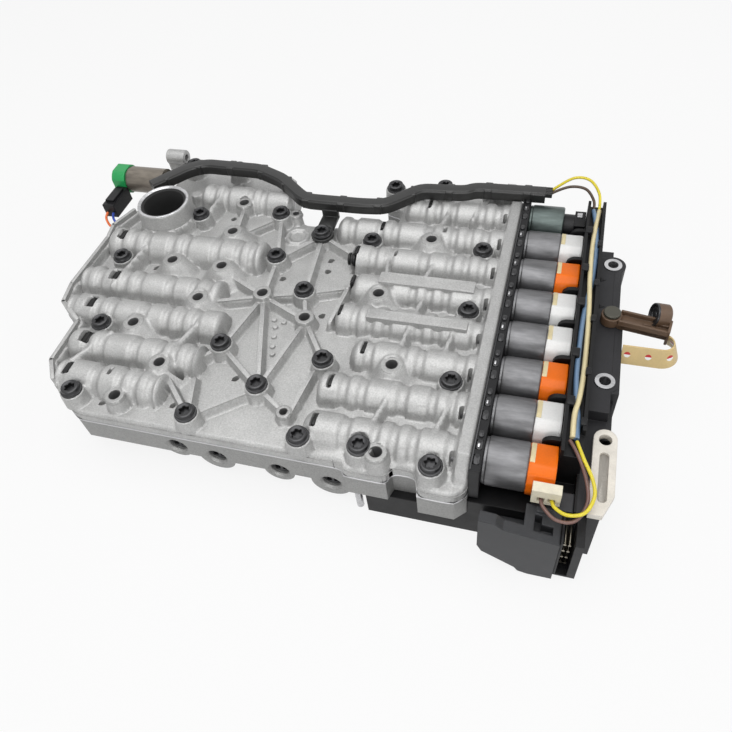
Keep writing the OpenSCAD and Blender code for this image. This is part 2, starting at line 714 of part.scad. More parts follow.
module module_housing() {
    module_l = module_back - module_front;
    wall_front = -84;
    wall_l = module_back - wall_front;
    latch_end = -47;
    color("#222222") difference() {
        union() {
            translate([tray_x, module_front, 0]) cube([flange_x + flange_w - tray_x, module_l, tray_z]);
            translate([edge_x + 0.2, module_front, tray_z - 1])
                cube([flange_x - edge_x, module_l, cradle_z - tray_z + 1]);
            for (k = [0:bank_count - 2])
                cap_tab(right_y(k) - pitch / 2);
            translate([chan_x - 1.6, wall_front, cradle_z - 1]) cube([1.8, wall_l, 66 - cradle_z]);
            translate([chan_x, wall_front, cradle_z - 1]) cube([channel_w, wall_l, chan_z - cradle_z + 1]);
            translate([flange_x - 2, -70, cradle_z - 1]) cube([2, 188, 66 - cradle_z]);
            translate([flange_x - 1, -48, tray_z - 1]) cube([flange_w + 1, 124, flange_z - tray_z + 1]);
            translate([0, 0, tray_z + 2]) linear_extrude(flange_z - tray_z - 2.4)
                polygon([[flange_x + 8, wide_front], [flange_x + flange_w + wide_w, wide_front],
                    [flange_x + flange_w + wide_w, wide_back - wide_w], [flange_x + flange_w, wide_back],
                    [flange_x + 8, wide_back]]);
            translate([0, 0, tray_z + 4])
                pill([latch_x, latch_y - 16], [latch_x, latch_y - 6], guide_r, latch_z - 0.55 - tray_z - 4);
            translate([flange_x - 1, module_front, tray_z - 1])
                cube([flange_w + 1, latch_end - module_front, latch_z - latch_gap - tray_z + 1]);
            for (s = [0, 1]) translate([sleeve_x, sleeve_y - s * sleeve_pitch, tray_z - 1])
                cylinder(r = sleeve_r + 2.4, h = flange_z - tray_z + 1);
            translate([pivot.x, pivot.y, tray_z - 1]) cylinder(r = 7.5, h = flange_z - tray_z + 1);
        }
        for (s = [0, 1]) translate([sleeve_x, sleeve_y - s * sleeve_pitch, -1])
            cylinder(r = sleeve_r + fit, h = 80);
        for (p = bell_holes) translate([p.x, p.y, -1]) cylinder(r = case_hole_r + 1.5, h = tray_z + 2);
        translate([pivot.x, pivot.y, flange_z - 12]) cylinder(r = pivot_r + fit, h = 20);
        for (k = [0:bank_count - 1])
            rod_x([edge_x, right_y(k), axis_z], can_r + 0.3, chan_x - 1.6 - edge_x);
        translate([latch_x - 3 - fit, latch_y - latch_l + 4, latch_z - 5]) cube([6 + 2 * fit, 44, 8]);
    }
}

module module_sleeves() {
    color("lightgray") for (s = [0, 1]) translate([sleeve_x, sleeve_y - s * sleeve_pitch, tray_z])
        difference() {
            cylinder(r = sleeve_r, h = flange_z + 0.6 - tray_z);
            translate([0, 0, -1]) cylinder(r = sleeve_hole_r, h = 60);
        }
}

// Connector at the module's front: charcoal block with the open plug shroud beside it
block_back = module_front - 0.2;
block_l = 18.4;
block_x = 169;
shroud_x = block_x + 0.2;
shroud_w = 11.2;
shroud_l = 17.4;
shroud_z = 5;
shroud_top = 43;
shroud_t = 1.2;
shroud_rail = 4.2;
// Open well behind the block's front wall, and the pocket of its catch
well_floor = 26;
well_end = 150.5;
wall_t = 6;
tongue_top = 43.6;
tongue_end = bank_end - 7.6;
tongue_x = flange_x - 1.2;
pocket = [155.5, block_back - 14, 36];
module connector_block() {
    tongue_z = cradle_z + fit;
    color("#4a4a4d") difference() {
        union() {
            translate([0, block_back, 0]) rotate([90, 0, 0]) linear_extrude(block_l)
                polygon([[128.5, 24], [131, 18], [140, 12], [149, 6], [151, 2.5], [156, 1], [block_x, 1],
                    [block_x, 42], [164, 43], [152, 45], [141, 47], [137, 51], [128.5, 52]]);
            translate([0, 0, tongue_z]) linear_extrude(tongue_top - tongue_z)
                polygon([[153, block_back - 1], [153, bank_end - 13], [163.4, bank_end - 13],
                    [163.4, tongue_end], [tongue_x, tongue_end],
                    [tongue_x, block_back + 0.3], [block_x - 0.6, block_back + 0.3],
                    [block_x - 0.6, block_back - 1]]);
            translate(pocket + [0, 10, 4]) cube([6.5, 3, 6]);
        }
        translate([edge_x, block_back - block_l + wall_t, well_floor])
            cube([well_end - edge_x, block_l, 40]);
        translate(pocket) cube([3.6, 9, 20]);
        translate(pocket + [0, 0, 0.5]) cube([9.5, 4.4, 20]);
    }
}

module connector_shroud() {
    color("#1b1b1b") difference() {
        translate([shroud_x, block_back - shroud_l, shroud_z])
            cube([shroud_w, shroud_l, shroud_top - shroud_z]);
        translate([shroud_x + shroud_t, block_back - shroud_l - 1, shroud_z + shroud_t])
            cube([shroud_w - shroud_t - shroud_rail, shroud_l - 1, shroud_top]);
    }
}

module contact_pins() {
    color("gold") for (z = [11, 18, 25, 32], x = [shroud_x + 2.8, shroud_x + 5.2])
        rod_y([x, block_back - shroud_l + 5, z], 0.8, shroud_l - 7);
}

module latch_slide() {
    color("ivory") difference() {
        union() {
            translate([latch_x, latch_y, latch_z]) {
                difference() {
                    union() {
                        translate([0, -latch_w / 2, 0]) cylinder(r = latch_w / 2, h = latch_t);
                        linear_extrude(latch_t) polygon([[-latch_w / 2, -latch_w / 2],
                            [latch_w / 2, -latch_w / 2], [latch_w / 2, 12 - latch_l],
                            [1, -latch_l], [-latch_w / 2, -latch_l]]);
                    }
                    translate([0, 0, latch_t - 1.6])
                        pill([0, -17], [0, -42], 2.4, 2);
                }
            }
            translate([latch_x - 3, latch_y - 26, latch_z - 3]) cube([6, 12, 3.5]);
        }
        translate([latch_x, latch_y - latch_w / 2 - 0.6, latch_z - 1]) cylinder(r = latch_hole_r, h = 9);
    }
}

module sensor_arm() {
    color("saddlebrown") difference() {
        union() {
            translate([pivot.x, pivot.y, arm_z]) rotate([0, 0, 169])
                cylinder(r = 6.4, h = arm_t - 3);
            translate([pivot.x, pivot.y, arm_z]) rotate([0, 0, -11])
                translate([0, -4.6, 0]) cube([arm_l, 9.2, arm_t - 3.4]);
            translate([pivot.x, pivot.y, arm_z]) rotate([0, 0, -11]) {
                translate([8, -4.6, 0]) cube([arm_l - 8, 1.6, arm_t]);
                translate([8, 3, 0]) cube([arm_l - 8, 1.6, arm_t]);
                translate([arm_l - arm_wall + 1, -6, -4]) cube([arm_wall, 6 + arm_head_y, arm_t + 4]);
                translate([arm_l - arm_wall + 1, arm_head_y, 4]) rotate([0, 90, 0])
                    cylinder(r = arm_head_r, h = arm_wall);
            }
        }
        translate([pivot.x, pivot.y, arm_z - 1]) cylinder(r = pivot_r + pivot_gap, h = 20);
    }
}

// Round pickup on the inner face of the sensor arm's head
module sensor_pickup() {
    t = 2.2;
    color("black") translate([pivot.x, pivot.y, arm_z]) rotate([0, 0, -11])
        translate([arm_l - arm_wall + 1 - t - fit, arm_head_y, 4]) rotate([0, 90, 0])
            cylinder(r = arm_head_r - 1.4, h = t);
}

module sensor_pivot() {
    color("#2b2b26") translate([pivot.x, pivot.y, 0]) union() {
        translate([0, 0, flange_z - 11]) cylinder(r = pivot_r, h = arm_z + arm_t - flange_z + 9);
        translate([0, 0, arm_z + arm_t - 2.7]) cylinder(r = 5.6, h = 2);
    }
}

// Flat flexible lead standing on edge, with its return bend
module sensor_lead() {
    t = 1.1;
    w = 8;
    end = [pivot.x + arm_l - 1, pivot.y - 13.4];
    color("khaki") translate([0, 0, arm_z - 5]) {
        translate([flange_x + flange_w + wide_w + fit, end.y - 9, 0])
            cube([end.x - flange_x - flange_w - wide_w, t, w]);
        translate([end.x, end.y - 4.5 + t / 2, 0]) rotate([0, 0, -90])
            rotate_extrude(angle = 180) translate([4.5 - t / 2, 0]) square([t, w]);
    }
}

// Outline of a strip of the given width along a list of points
function side_of(p, i, w) =
    let (a = i == 0 ? p[1] - p[0] : p[i] - p[i - 1],
        b = i == len(p) - 1 ? a : p[i + 1] - p[i],
        n = unit(unit([-a.y, a.x]) + unit([-b.y, b.x])),
        c = n * unit([-a.y, a.x]))
    p[i] + n * w / 2 / c;
function strip_outline(p, w) = concat(
    [for (i = [0:len(p) - 1]) side_of(p, i, -w)],
    [for (i = [len(p) - 1:-1:0]) side_of(p, i, w)]
);

module cable_duct() {
    lid = 1.4;
    ring = bolts[clip_bolt];
    color("#262626") union() {
        translate([0, 0, duct_z]) linear_extrude(duct_h - lid) polygon(strip_outline(duct_path, duct_w));
        translate([0, 0, duct_z + duct_h - lid - over])
            linear_extrude(lid + over) polygon(strip_outline(duct_path, duct_w - 2));
        difference() {
            union() {
                translate([ring.x, ring.y, seat_z - clip_ring_h + fit])
                    cylinder(r = clip_ring_r, h = clip_ring_h - 2 * fit);
                translate([ring.x - 6, ring.y + 4, seat_z - clip_ring_h + fit])
                    cube([12, 19, clip_ring_h - 2 * fit]);
                translate([ring.x - 6, ring.y + 19, seat_z - clip_ring_h + fit])
                    cube([12, 4, duct_z - seat_z + clip_ring_h + 1]);
            }
            translate([ring.x, ring.y, seat_z - 10]) cylinder(r = shank_r + shank_gap, h = 20);
        }
    }
}

module park_solenoid_can() {
    color("rosybrown") bar_x([park_x - park_can_l, park_y, park_z],
        [[2, park_r - 0.6], [park_can_l - 2, park_r]], 0.3);
}

module park_solenoid_cap() {
    color("mediumseagreen") intersection() {
        rod_x([park_x - park_can_l - park_cap_l, park_y, park_z], park_r + 1, park_cap_l);
        translate([-230, park_y - park_r, park_z - park_r]) cube([60, 2 * park_r, 2 * park_r]);
    }
}

module park_plug() {
    color("#1f1f1f") translate([park_x - park_can_l - park_cap_l + 2, park_y - park_r - 24, park_z - 12])
        union() {
            cube([10, 23.9, 11]);
            translate([1.5, 4, 10]) cube([7, 16, 3]);
        }
}

module harness_leads() {
    color("gold") for (p = [loop_a, loop_b, arc_a, arc_b, park_a, park_b]) tube(route(p, 3), lead_r, 8);
}

module channel_wires() {
    color("steelblue") for (p = [chan_a, chan_b]) tube(route(p, 2), lead_r * 1.5, 8);
}

module two_pin_plug() {
    color("beige") translate([152, bank_end - 12.4 - 0.2 - 5.6, axis_z - 3]) difference() {
        cube([14.4, 5.6, 12]);
        for (x = [3, 8.2]) translate([x, -1, 2]) cube([3.6, 4, 4]);
    }
}

module dowel_pin() {
    color("lightgray") translate([dowel.x, dowel.y, 0]) cylinder(r = dowel_r, h = slab_z + dowel_in);
}

valve_housing();
separator_plate();
channel_housing();
module_housing();
connector_block();
connector_shroud();
contact_pins();
latch_slide();
retainer_strip();
strip_springs();
for (k = [0:bank_count - 1]) {
    solenoid_can(k);
    solenoid_cap(k);
    pilot_spool(k);
}
for (k = [0:len(left_rows) - 1])
    shift_spool(k);
bobbin_tabs();
valve_springs();
bore_plugs();
retaining_clips();
suction_seal();
cover_bolts();
module_sleeves();
sensor_arm();
sensor_pivot();
sensor_pickup();
sensor_lead();
cable_duct();
park_solenoid_can();
park_solenoid_cap();
park_plug();
harness_leads();
channel_wires();
two_pin_plug();
channel_plugs();
dowel_pin();
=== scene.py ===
"""Looks of a transmission valve body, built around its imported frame.

Sizes are in millimetres in the row frame until a mesh is made, and each piece sits at the origin.
"""

import json
import logging
import math
from collections.abc import Sequence
from dataclasses import dataclass
from enum import Enum
from typing import Any

import bmesh
import bpy
import numpy as np
from mathutils import Matrix, Vector

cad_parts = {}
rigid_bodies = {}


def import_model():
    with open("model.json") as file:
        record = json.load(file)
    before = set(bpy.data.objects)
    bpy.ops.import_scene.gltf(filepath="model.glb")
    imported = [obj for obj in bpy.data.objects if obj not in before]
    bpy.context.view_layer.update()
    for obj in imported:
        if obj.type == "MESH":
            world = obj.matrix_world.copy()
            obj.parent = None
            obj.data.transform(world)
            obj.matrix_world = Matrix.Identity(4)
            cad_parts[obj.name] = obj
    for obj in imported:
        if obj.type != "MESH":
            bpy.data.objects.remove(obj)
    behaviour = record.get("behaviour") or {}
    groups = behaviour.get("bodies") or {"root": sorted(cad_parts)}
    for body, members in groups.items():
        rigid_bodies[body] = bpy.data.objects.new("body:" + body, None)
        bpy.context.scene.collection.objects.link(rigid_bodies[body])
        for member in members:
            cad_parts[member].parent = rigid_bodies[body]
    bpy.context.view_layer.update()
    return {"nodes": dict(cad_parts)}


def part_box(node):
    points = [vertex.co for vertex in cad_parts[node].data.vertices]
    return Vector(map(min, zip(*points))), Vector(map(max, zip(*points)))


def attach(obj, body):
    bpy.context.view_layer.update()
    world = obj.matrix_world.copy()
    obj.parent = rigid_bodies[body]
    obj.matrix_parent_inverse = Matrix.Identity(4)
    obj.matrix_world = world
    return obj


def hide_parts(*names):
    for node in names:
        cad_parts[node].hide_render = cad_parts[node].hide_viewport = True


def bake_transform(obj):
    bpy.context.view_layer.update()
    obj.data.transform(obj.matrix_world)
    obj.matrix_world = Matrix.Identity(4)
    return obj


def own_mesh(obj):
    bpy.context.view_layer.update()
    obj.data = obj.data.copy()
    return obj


LOG = logging.getLogger("valve_body")
Array = np.ndarray
Point2 = tuple[float, float]
Point3 = tuple[float, float, float]

MM = 0.001

# Levels shared by the pieces
SPLIT_Z = 40.0
DECK_Z = 48.0
AXIS_Z = 49.5
BOSS_Z = 57.0
SEAT_Z = 56.8
HEAD_Z = 60.8
BELL_Z = 60.2

# Places shared by the pieces
PITCH = 27.9
BANK_Y = 107.5
EDGE_X = 120.0
FRONT_Y = -104.0
FACE_X = 125.6
CAP_X = 148.6
CAP_L = 14.0
CAN_R = 13.2
NOSE_IN = 16.0
SOLENOIDS = 8

OUTLINE: list[Point2] = [
    (-120, -104), (50, -104), (52, -108), (76, -108), (78, -101), (92, -101), (94, -112),
    (114, -112), (120, -106), (120, 128), (112, 137), (42, 137), (24, 133), (18.5, 124),
    (21, 115), (34, 111), (34, 97),
    (26, 87), (-34, 85), (-46, 97), (-56, 118), (-60, 140), (-152, 142), (-158, 136),
    (-158, 92), (-170, 74), (-178, 54), (-175, 40), (-176, -10), (-172, -28), (-152, -42),
    (-151, -76), (-141, -90),
]
BOLTS: list[Point2] = [
    (-112, 74), (-51, 84), (-13.7, 67.5), (-150, 21), (-38, 39), (-8, 10.3), (-132, -41),
    (24, 64.4), (100, 65.6), (100, 9.9), (-122, -95), (-45, -43), (-10.5, -69.5),
    (-44, -97), (25.5, -99), (22.3, -44), (100, -46), (60, -98), (100, -102),
    (-144, 133), (-105, 133), (62, 130), (98, 130), (26, 125),
]
# Bolt that holds the duct, and how much lower its boss is
CLIP_BOLT = 2
CLIP_DROP = 3
BELL_HOLES: list[Point2] = [
    (-78, 57), (-109.3, 21.5), (-71.6, 21.5), (-75.3, -9.8), (-108.5, -38.5),
    (64.5, 69.5), (42, 13.5), (64.5, -42), (-75.6, -66.3),
]
POST_HOLES: list[Point2] = [(-83.6, 92), (-34.8, 3.3), (0.2, -12.9), (-92.8, -93.5), (70, -100)]
SMALL_HOLES: list[Point2] = [(-41, 88), (11, -83.4)]
CASE_HOLE_R = 3.5
SMALL_HOLE_R = 2.4
# Kinds of through holes: places, radius, radius of the rim and height of the rim
HOLE_KINDS: list[tuple[list[Point2], float, float, float]] = [
    (BELL_HOLES, CASE_HOLE_R, 6.7, BELL_Z), (POST_HOLES, CASE_HOLE_R, 6.0, BOSS_Z + 1),
    (SMALL_HOLES, SMALL_HOLE_R, 4.4, BOSS_Z - 1.5),
]
# Skirt of a case hole boss: distance from its middle and height above the deck
BELL_SKIRT: list[Point2] = [(0, 12.2), (6.6, 12.2), (7.6, 10.6), (10.5, 6.5), (15, 1.5), (17, -1), (19, -9)]

# Right bank: left end of each bulge and place of its clip slot along X
RIGHT_ROWS: list[Point2] = [
    (38, 56), (-6, 28), (12, 17), (20, 22), (18, 22), (36, 45), (24, 33), (24, 32),
]
# Left bank: place along Y, left end, right end, bulge radius and clip slot
LEFT_ROWS: list[tuple[float, float, float, float, float]] = [
    (40.5, -172, -46, 12.2, -158), (0.8, -173, -62, 10.6, -143), (-26.3, -169, -50, 10.6, -147),
    (-55.5, -149, -52, 10.6, -134), (-80.8, -143, -66, 10.8, -132),
]
# Rings of a bulge in turn: length along the bore and change of its radius
RING_STEP: list[Point2] = [
    (12, 0.2), (4.5, -1.3), (6, 0.4), (4.5, -1.2), (6, 0.3), (5, -1.4), (15, 0.4), (5, -1.1),
    (6, 0.4), (5, -1.3), (18, 0.1), (6, -1.5),
]
BULGE_R = 10.4
# Short bulge beside the duct: place along Y, left end, right end and radius
DUCT_BULGE = (102.0, -124.0, -44.0, 11.3)
# Rim beside the solenoids: place along Y and height above the deck
RIM_RISE: list[Point2] = [(-106, -2), (-104, 3), (-94, 14)]
HUB = POST_HOLES[1]
HUB_B = POST_HOLES[2]
RIBS: list[tuple[Point2, Point2]] = [
    (HUB, BELL_HOLES[2]), (HUB, BELL_HOLES[3]), (HUB, BOLTS[4]), (HUB, BOLTS[5]), (HUB, HUB_B),
    (HUB, BOLTS[11]), (HUB, BOLTS[12]), (HUB_B, BOLTS[12]), (HUB_B, BOLTS[15]), (HUB_B, BOLTS[5]),
    (BOLTS[11], BOLTS[12]), (BOLTS[12], BOLTS[13]), (BOLTS[12], SMALL_HOLES[1]),
    (BOLTS[4], BOLTS[1]), (BOLTS[4], BOLTS[2]), (BOLTS[2], BOLTS[5]),
    (BOLTS[2], (16, 50)), (BOLTS[1], SMALL_HOLES[0]), (BOLTS[1], BELL_HOLES[0]),
    (POST_HOLES[0], BELL_HOLES[0]), (BOLTS[5], (19, 20)), ((19, 20), (16, -12)),
    (BOLTS[13], BELL_HOLES[8]), (BOLTS[13], (-52, -70)), (BOLTS[11], (-58, -58)),
    ((14, -86), (18, -52)),
]
FINS: list[tuple[Point2, Point2]] = [
    ((-137, 32), (-142, -8)), ((-120, -48), (-134, -74)), ((-64, -22), (-74, -58)),
    ((-103, 106), (-106, 80)), ((38, 58), (42, 34)), ((70, 44), (66, 26)), ((72, 106), (66, 80)),
    ((96, 124), (88, 96)), ((70, -54), (64, -80)), ((104, -54), (98, -82)), ((70, 12), (66, -24)),
    ((96, 4), (92, -28)),
]
# Small forms of the deck: drilled floor holes, raised dots and second slots of the bulges
FLOOR_HOLES: list[Point2] = [
    (-31, 27), (-3, 50), (-2, 39), (7, -2), (-30, -61.5), (-60, -88), (-105, -95), (-91, 83),
    (-127, 22.5), (82, -25),
]
FLOOR_HOLE_R = 1.7
DOTS: list[Point2] = [(-23, -11), (-16, -12), (-20, -17), (-18, -25), (-16, -33), (-14, -39)]
DOT_R = 1.9
OCTAGON: Point2 = (-35, 71)
OCTAGON_R = 7.4
PLAIN_POST: Point2 = (-126.5, 98)
# Stop block behind the duct as lowest and highest corner
STOP_BLOCK: tuple[Point2, Point2] = ((106.5, 128), (115, 134.5))
# Flat pads on two bulges as lowest and highest corner
PADS: list[tuple[Point2, Point2]] = [((39.5, 21.3), (101.5, 30.8)), ((40, -10.2), (102.5, -2.8))]
# Slots as middle and half size
SLOTS: list[tuple[Point2, Point2]] = [
    ((72, 80), (1.0, 2.6)), ((44, 52), (1.0, 2.6)), ((16, 45), (1.4, 5.0)), ((-102, -79), (1.0, 2.6)),
    ((-65, -68), (3.2, 2.0)),
]
PORT: Point2 = (-135.5, 67.8)
PORT_R = 16.5
PORT_WALL = 2.8
PORT_TOP = 72.0
# Foot of the port: distance from its middle and height
PORT_FOOT: list[Point2] = [(0, 60), (20.5, 60), (22, 51.5), (25, 48), (27, 40)]
# Sides of the outline that carry the left lip
LIP_SIDES = range(25, 32)

DUCT_PATH: list[Point2] = [
    (-159, 91.5), (-147.5, 105.5), (-138, 117), (-126, 123), (-80, 122), (-58, 112.5), (-36, 94),
    (-30, 91.5), (10, 91.5), (26, 93), (36, 102.5), (48, 113.8), (79, 115.4), (86, 119.8),
    (134, 120.8),
]


def right_y(k: int) -> float:
    """Place of the right bank's row k along Y."""
    return BANK_Y - PITCH * k


class Grain(Enum):
    """Kinds of surface texture."""

    CAST = "cast"
    MOULDED = "moulded"
    DRAWN = "drawn"
    SMOOTH = "smooth"


@dataclass(frozen=True)
class GrainValues:
    """Scales per metre, stretch, depth in metres and shares of light and dark of one surface texture."""

    fine: float
    coarse: float
    stretch: Point3
    depth: float
    tone: float
    speckle: float


GRAINS: dict[Grain, GrainValues] = {
    Grain.CAST: GrainValues(1100.0, 70.0, (1, 1, 1), 0.00017, 0.08, 0.22),
    Grain.MOULDED: GrainValues(2600.0, 120.0, (1, 1, 1), 0.00004, 0.12, 0.1),
    Grain.DRAWN: GrainValues(500.0, 110.0, (0.25, 1, 1), 0.00003, 0.3, 0.2),
    Grain.SMOOTH: GrainValues(1200.0, 90.0, (1, 1, 1), 0.00001, 0.05, 0.05),
}
# Parts of the noise that spread over a finish's tone and speckle, and swing of its roughness
TONE_RANGE = (0.3, 0.7)
SPECKLE_RANGE = (0.25, 0.75)
GLOSS_SWING = 0.05


def feed(tree: bpy.types.NodeTree, node: bpy.types.Node, values: dict[str | int, Any]) -> bpy.types.Node:
    """Sets inputs of a node: a socket is linked, any other value is set on the input itself.

    Args:
        tree: The tree that holds the node.
        node: The node.
        values: Values by name or number of the input.

    Returns:
        The same node.
    """
    for key, value in values.items():
        if isinstance(value, bpy.types.NodeSocket):
            tree.links.new(value, node.inputs[key])
        else:
            node.inputs[key].default_value = value
    return node


def add_node(tree: bpy.types.NodeTree, kind: str, values: dict[str | int, Any],
             operation: str = "") -> bpy.types.Node:
    """Adds a shader node with its inputs set.

    Args:
        tree: The tree that gets the node.
        kind: Blender's name of the node without its prefix.
        values: Values by name or number of the input.
        operation: Operation of a maths node.

    Returns:
        The new node.
    """
    node = tree.nodes.new(f"ShaderNode{kind}")
    if operation:
        node.operation = operation
    return feed(tree, node, values)


def surface_grain_group() -> bpy.types.ShaderNodeTree:
    """Shared node group: fine height and coarse tone noise on object coordinates.

    Returns:
        The node group, with Fine, Coarse and Stretch inputs and Height and Tone outputs.
    """
    name = "surface_grain"
    if name in bpy.data.node_groups:
        return bpy.data.node_groups[name]
    tree = bpy.data.node_groups.new(name, "ShaderNodeTree")
    for label, way, kind in (("Fine", "INPUT", "Float"), ("Coarse", "INPUT", "Float"),
                             ("Stretch", "INPUT", "Vector"), ("Height", "OUTPUT", "Float"),
                             ("Tone", "OUTPUT", "Float")):
        tree.interface.new_socket(name=label, in_out=way, socket_type=f"NodeSocket{kind}")
    source, sink = tree.nodes.new("NodeGroupInput"), tree.nodes.new("NodeGroupOutput")
    place = add_node(tree, "TexCoord", {})
    scaled = add_node(tree, "VectorMath", {0: place.outputs["Object"], 1: source.outputs["Stretch"]},
                      "MULTIPLY")
    for label, out, detail in (("Fine", "Height", 3.0), ("Coarse", "Tone", 5.0)):
        noise = add_node(tree, "TexNoise", {"Detail": detail, "Roughness": 0.6, "Vector": scaled.outputs[0],
                                            "Scale": source.outputs[label]})
        tree.links.new(noise.outputs[0], sink.inputs[out])
    return tree


@dataclass(frozen=True)
class Finish:
    """A material finish: colour, gloss, texture and rounding of hard edges in the shading."""

    name: str
    colour: Point3
    roughness: float
    metallic: float = 0.0
    grain: Grain = Grain.MOULDED
    rounding: float = 0.0
    coat: float = 0.0
    shine: float = 0.5

    def material(self) -> bpy.types.Material:
        """Builds the material once.

        Returns:
            The material of this finish.
        """
        if self.name in bpy.data.materials:
            return bpy.data.materials[self.name]
        values = GRAINS[self.grain]
        made = bpy.data.materials.new(self.name)
        made.use_nodes = True
        tree = made.node_tree
        group = tree.nodes.new("ShaderNodeGroup")
        group.node_tree = surface_grain_group()
        feed(tree, group, {"Fine": values.fine, "Coarse": values.coarse, "Stretch": values.stretch})
        tone, height = group.outputs["Tone"], group.outputs["Height"]
        ramp = add_node(tree, "ValToRGB", {"Fac": tone})
        for element, position, sign in zip(ramp.color_ramp.elements, TONE_RANGE, (-1, 1)):
            element.position = position
            element.color = (*(min(1.0, c * (1 + sign * values.tone)) for c in self.colour), 1)
        speckle = add_node(tree, "MapRange", {
            "Value": height, "From Min": SPECKLE_RANGE[0], "From Max": SPECKLE_RANGE[1],
            "To Min": 1 - values.speckle, "To Max": 1 + values.speckle})
        tint = add_node(tree, "VectorMath", {0: ramp.outputs["Color"], "Scale": speckle.outputs["Result"]},
                        "SCALE")
        gloss = add_node(tree, "MapRange", {
            "Value": tone, "From Min": TONE_RANGE[0], "From Max": TONE_RANGE[1],
            "To Min": max(0.03, self.roughness - GLOSS_SWING),
            "To Max": min(1.0, self.roughness + GLOSS_SWING)})
        bump = add_node(tree, "Bump", {"Strength": 1.0, "Distance": values.depth, "Height": height})
        if self.rounding:
            bevel = add_node(tree, "Bevel", {"Radius": self.rounding * MM})
            bevel.samples = 6
            feed(tree, bump, {"Normal": bevel.outputs["Normal"]})
        shader = feed(tree, tree.nodes["Principled BSDF"], {
            "Metallic": self.metallic, "Specular IOR Level": self.shine, "Base Color": tint.outputs[0],
            "Roughness": gloss.outputs["Result"], "Normal": bump.outputs["Normal"]})
        if self.coat:
            feed(tree, shader, {"Coat Weight": self.coat, "Coat Roughness": 0.15})
        return made


# Darker copy of the cast alloy for the lower casting's front walls: painted shade.
CAST_LOWER_SHADE = Finish("die_cast_lower_painted_shade", (0.27, 0.27, 0.265), 0.42, 0.5, Grain.CAST, rounding=1.2)
# Darker copy of the cast alloy: painted shade on the hole rims and on the flash line above the split.
CAST_RIM_SHADE = Finish("die_cast_rim_painted_shade", (0.33, 0.33, 0.325), 0.45, 0.5, Grain.CAST)
# Dark colour of the hole walls: painted shade inside the case holes, not a real finish of the alloy.
BORE_SHADE = Finish("bore_painted_shade", (0.16, 0.16, 0.162), 0.45, 0.1, Grain.SMOOTH)
MACHINED = Finish("machined_alloy", (0.50, 0.50, 0.51), 0.28, 0.9, Grain.DRAWN)
PLATE = Finish("plate_steel", (0.80, 0.80, 0.80), 0.3, 0.1, Grain.SMOOTH)
BLACK = Finish("black_moulding", (0.006, 0.006, 0.007), 0.42, rounding=0.7, shine=0.25)
SLATE = Finish("slate_moulding", (0.034, 0.035, 0.038), 0.45, rounding=1.0, shine=0.3)
IVORY = Finish("ivory_moulding", (0.74, 0.70, 0.63), 0.42, rounding=0.6)
SLOT_GREY = Finish("latch_slot_grey", (0.30, 0.28, 0.25), 0.25, 0.2, Grain.SMOOTH)
PLUG = Finish("pale_plug", (0.76, 0.71, 0.56), 0.45, rounding=0.5)
CREAM = Finish("cream_moulding", (0.70, 0.60, 0.36), 0.45, rounding=0.2)
CAP_WHITE = Finish("white_cap", (0.74, 0.74, 0.73), 0.35, 0.0, Grain.SMOOTH)
CAP_ORANGE = Finish("orange_cap", (0.82, 0.155, 0.003), 0.4, 0.0, Grain.SMOOTH, shine=0.3)
CAN = Finish("drawn_can_steel", (0.155, 0.155, 0.16), 0.42, 0.75, Grain.DRAWN)
CAN_DARK = Finish("dark_can_steel", (0.085, 0.105, 0.10), 0.38, 0.75, Grain.DRAWN)
BOLT = Finish("phosphated_bolt", (0.052, 0.052, 0.054), 0.3, 0.85, Grain.SMOOTH)
RUBBER = Finish("seal_rubber", (0.012, 0.012, 0.013), 0.16, 0.0, Grain.SMOOTH)
# Black of the duct, kept lighter than the other black mouldings as a painted sheen on its lit top.
DUCT = Finish("duct_moulding_painted_sheen", (0.016, 0.016, 0.0156), 0.36, rounding=0.6)
PLUG_STEEL = Finish("plug_steel", (0.10, 0.10, 0.105), 0.35, 0.9, Grain.SMOOTH)
CLIP_GREY = Finish("strip_clip", (0.028, 0.028, 0.03), 0.22, 0.3, Grain.SMOOTH)
SPOOL = Finish("ground_steel", (0.42, 0.42, 0.43), 0.25, 1.0, Grain.DRAWN)
SPRING = Finish("spring_steel", (0.36, 0.36, 0.37), 0.3, 1.0, Grain.SMOOTH)
STRIP_STEEL = Finish("strip_spring_steel", (0.12, 0.12, 0.125), 0.3, 1.0, Grain.SMOOTH, rounding=0.4)
CLIP = Finish("black_clip", (0.012, 0.012, 0.012), 0.4, 0.5, Grain.SMOOTH)
BROWN = Finish("brown_moulding", (0.105, 0.062, 0.036), 0.5, rounding=0.6)
OLIVE = Finish("olive_pivot", (0.060, 0.058, 0.045), 0.4, 0.3, Grain.SMOOTH, rounding=0.4)
TAUPE = Finish("taupe_can", (0.17, 0.15, 0.125), 0.4, 0.6, Grain.DRAWN)
GREEN = Finish("green_cap", (0.014, 0.32, 0.085), 0.4, 0.0, Grain.SMOOTH, rounding=1.0)
BRASS = Finish("plated_contact", (0.34, 0.31, 0.25), 0.3, 1.0, Grain.SMOOTH)
LEAD_YELLOW = Finish("yellow_lead", (0.72, 0.60, 0.03), 0.35, 0.0, Grain.SMOOTH)
LEAD_BROWN = Finish("brown_lead", (0.16, 0.085, 0.07), 0.4, 0.0, Grain.SMOOTH)
LEAD_DARK = Finish("dark_lead", (0.06, 0.035, 0.02), 0.4, 0.0, Grain.SMOOTH)
LEAD_ORANGE = Finish("orange_lead", (0.80, 0.16, 0.03), 0.4, 0.0, Grain.SMOOTH)
LEAD_BLUE = Finish("blue_lead", (0.02, 0.07, 0.45), 0.4, 0.0, Grain.SMOOTH)
WIRE_BLUE = Finish("pale_blue_wire", (0.13, 0.22, 0.35), 0.3, 0.0, Grain.SMOOTH, coat=0.4)
WIRE_CREAM = Finish("cream_wire", (0.72, 0.62, 0.36), 0.3, 0.0, Grain.SMOOTH, coat=0.4)
FILM = Finish("flat_lead_film", (0.60, 0.45, 0.21), 0.4, 0.0, Grain.SMOOTH)


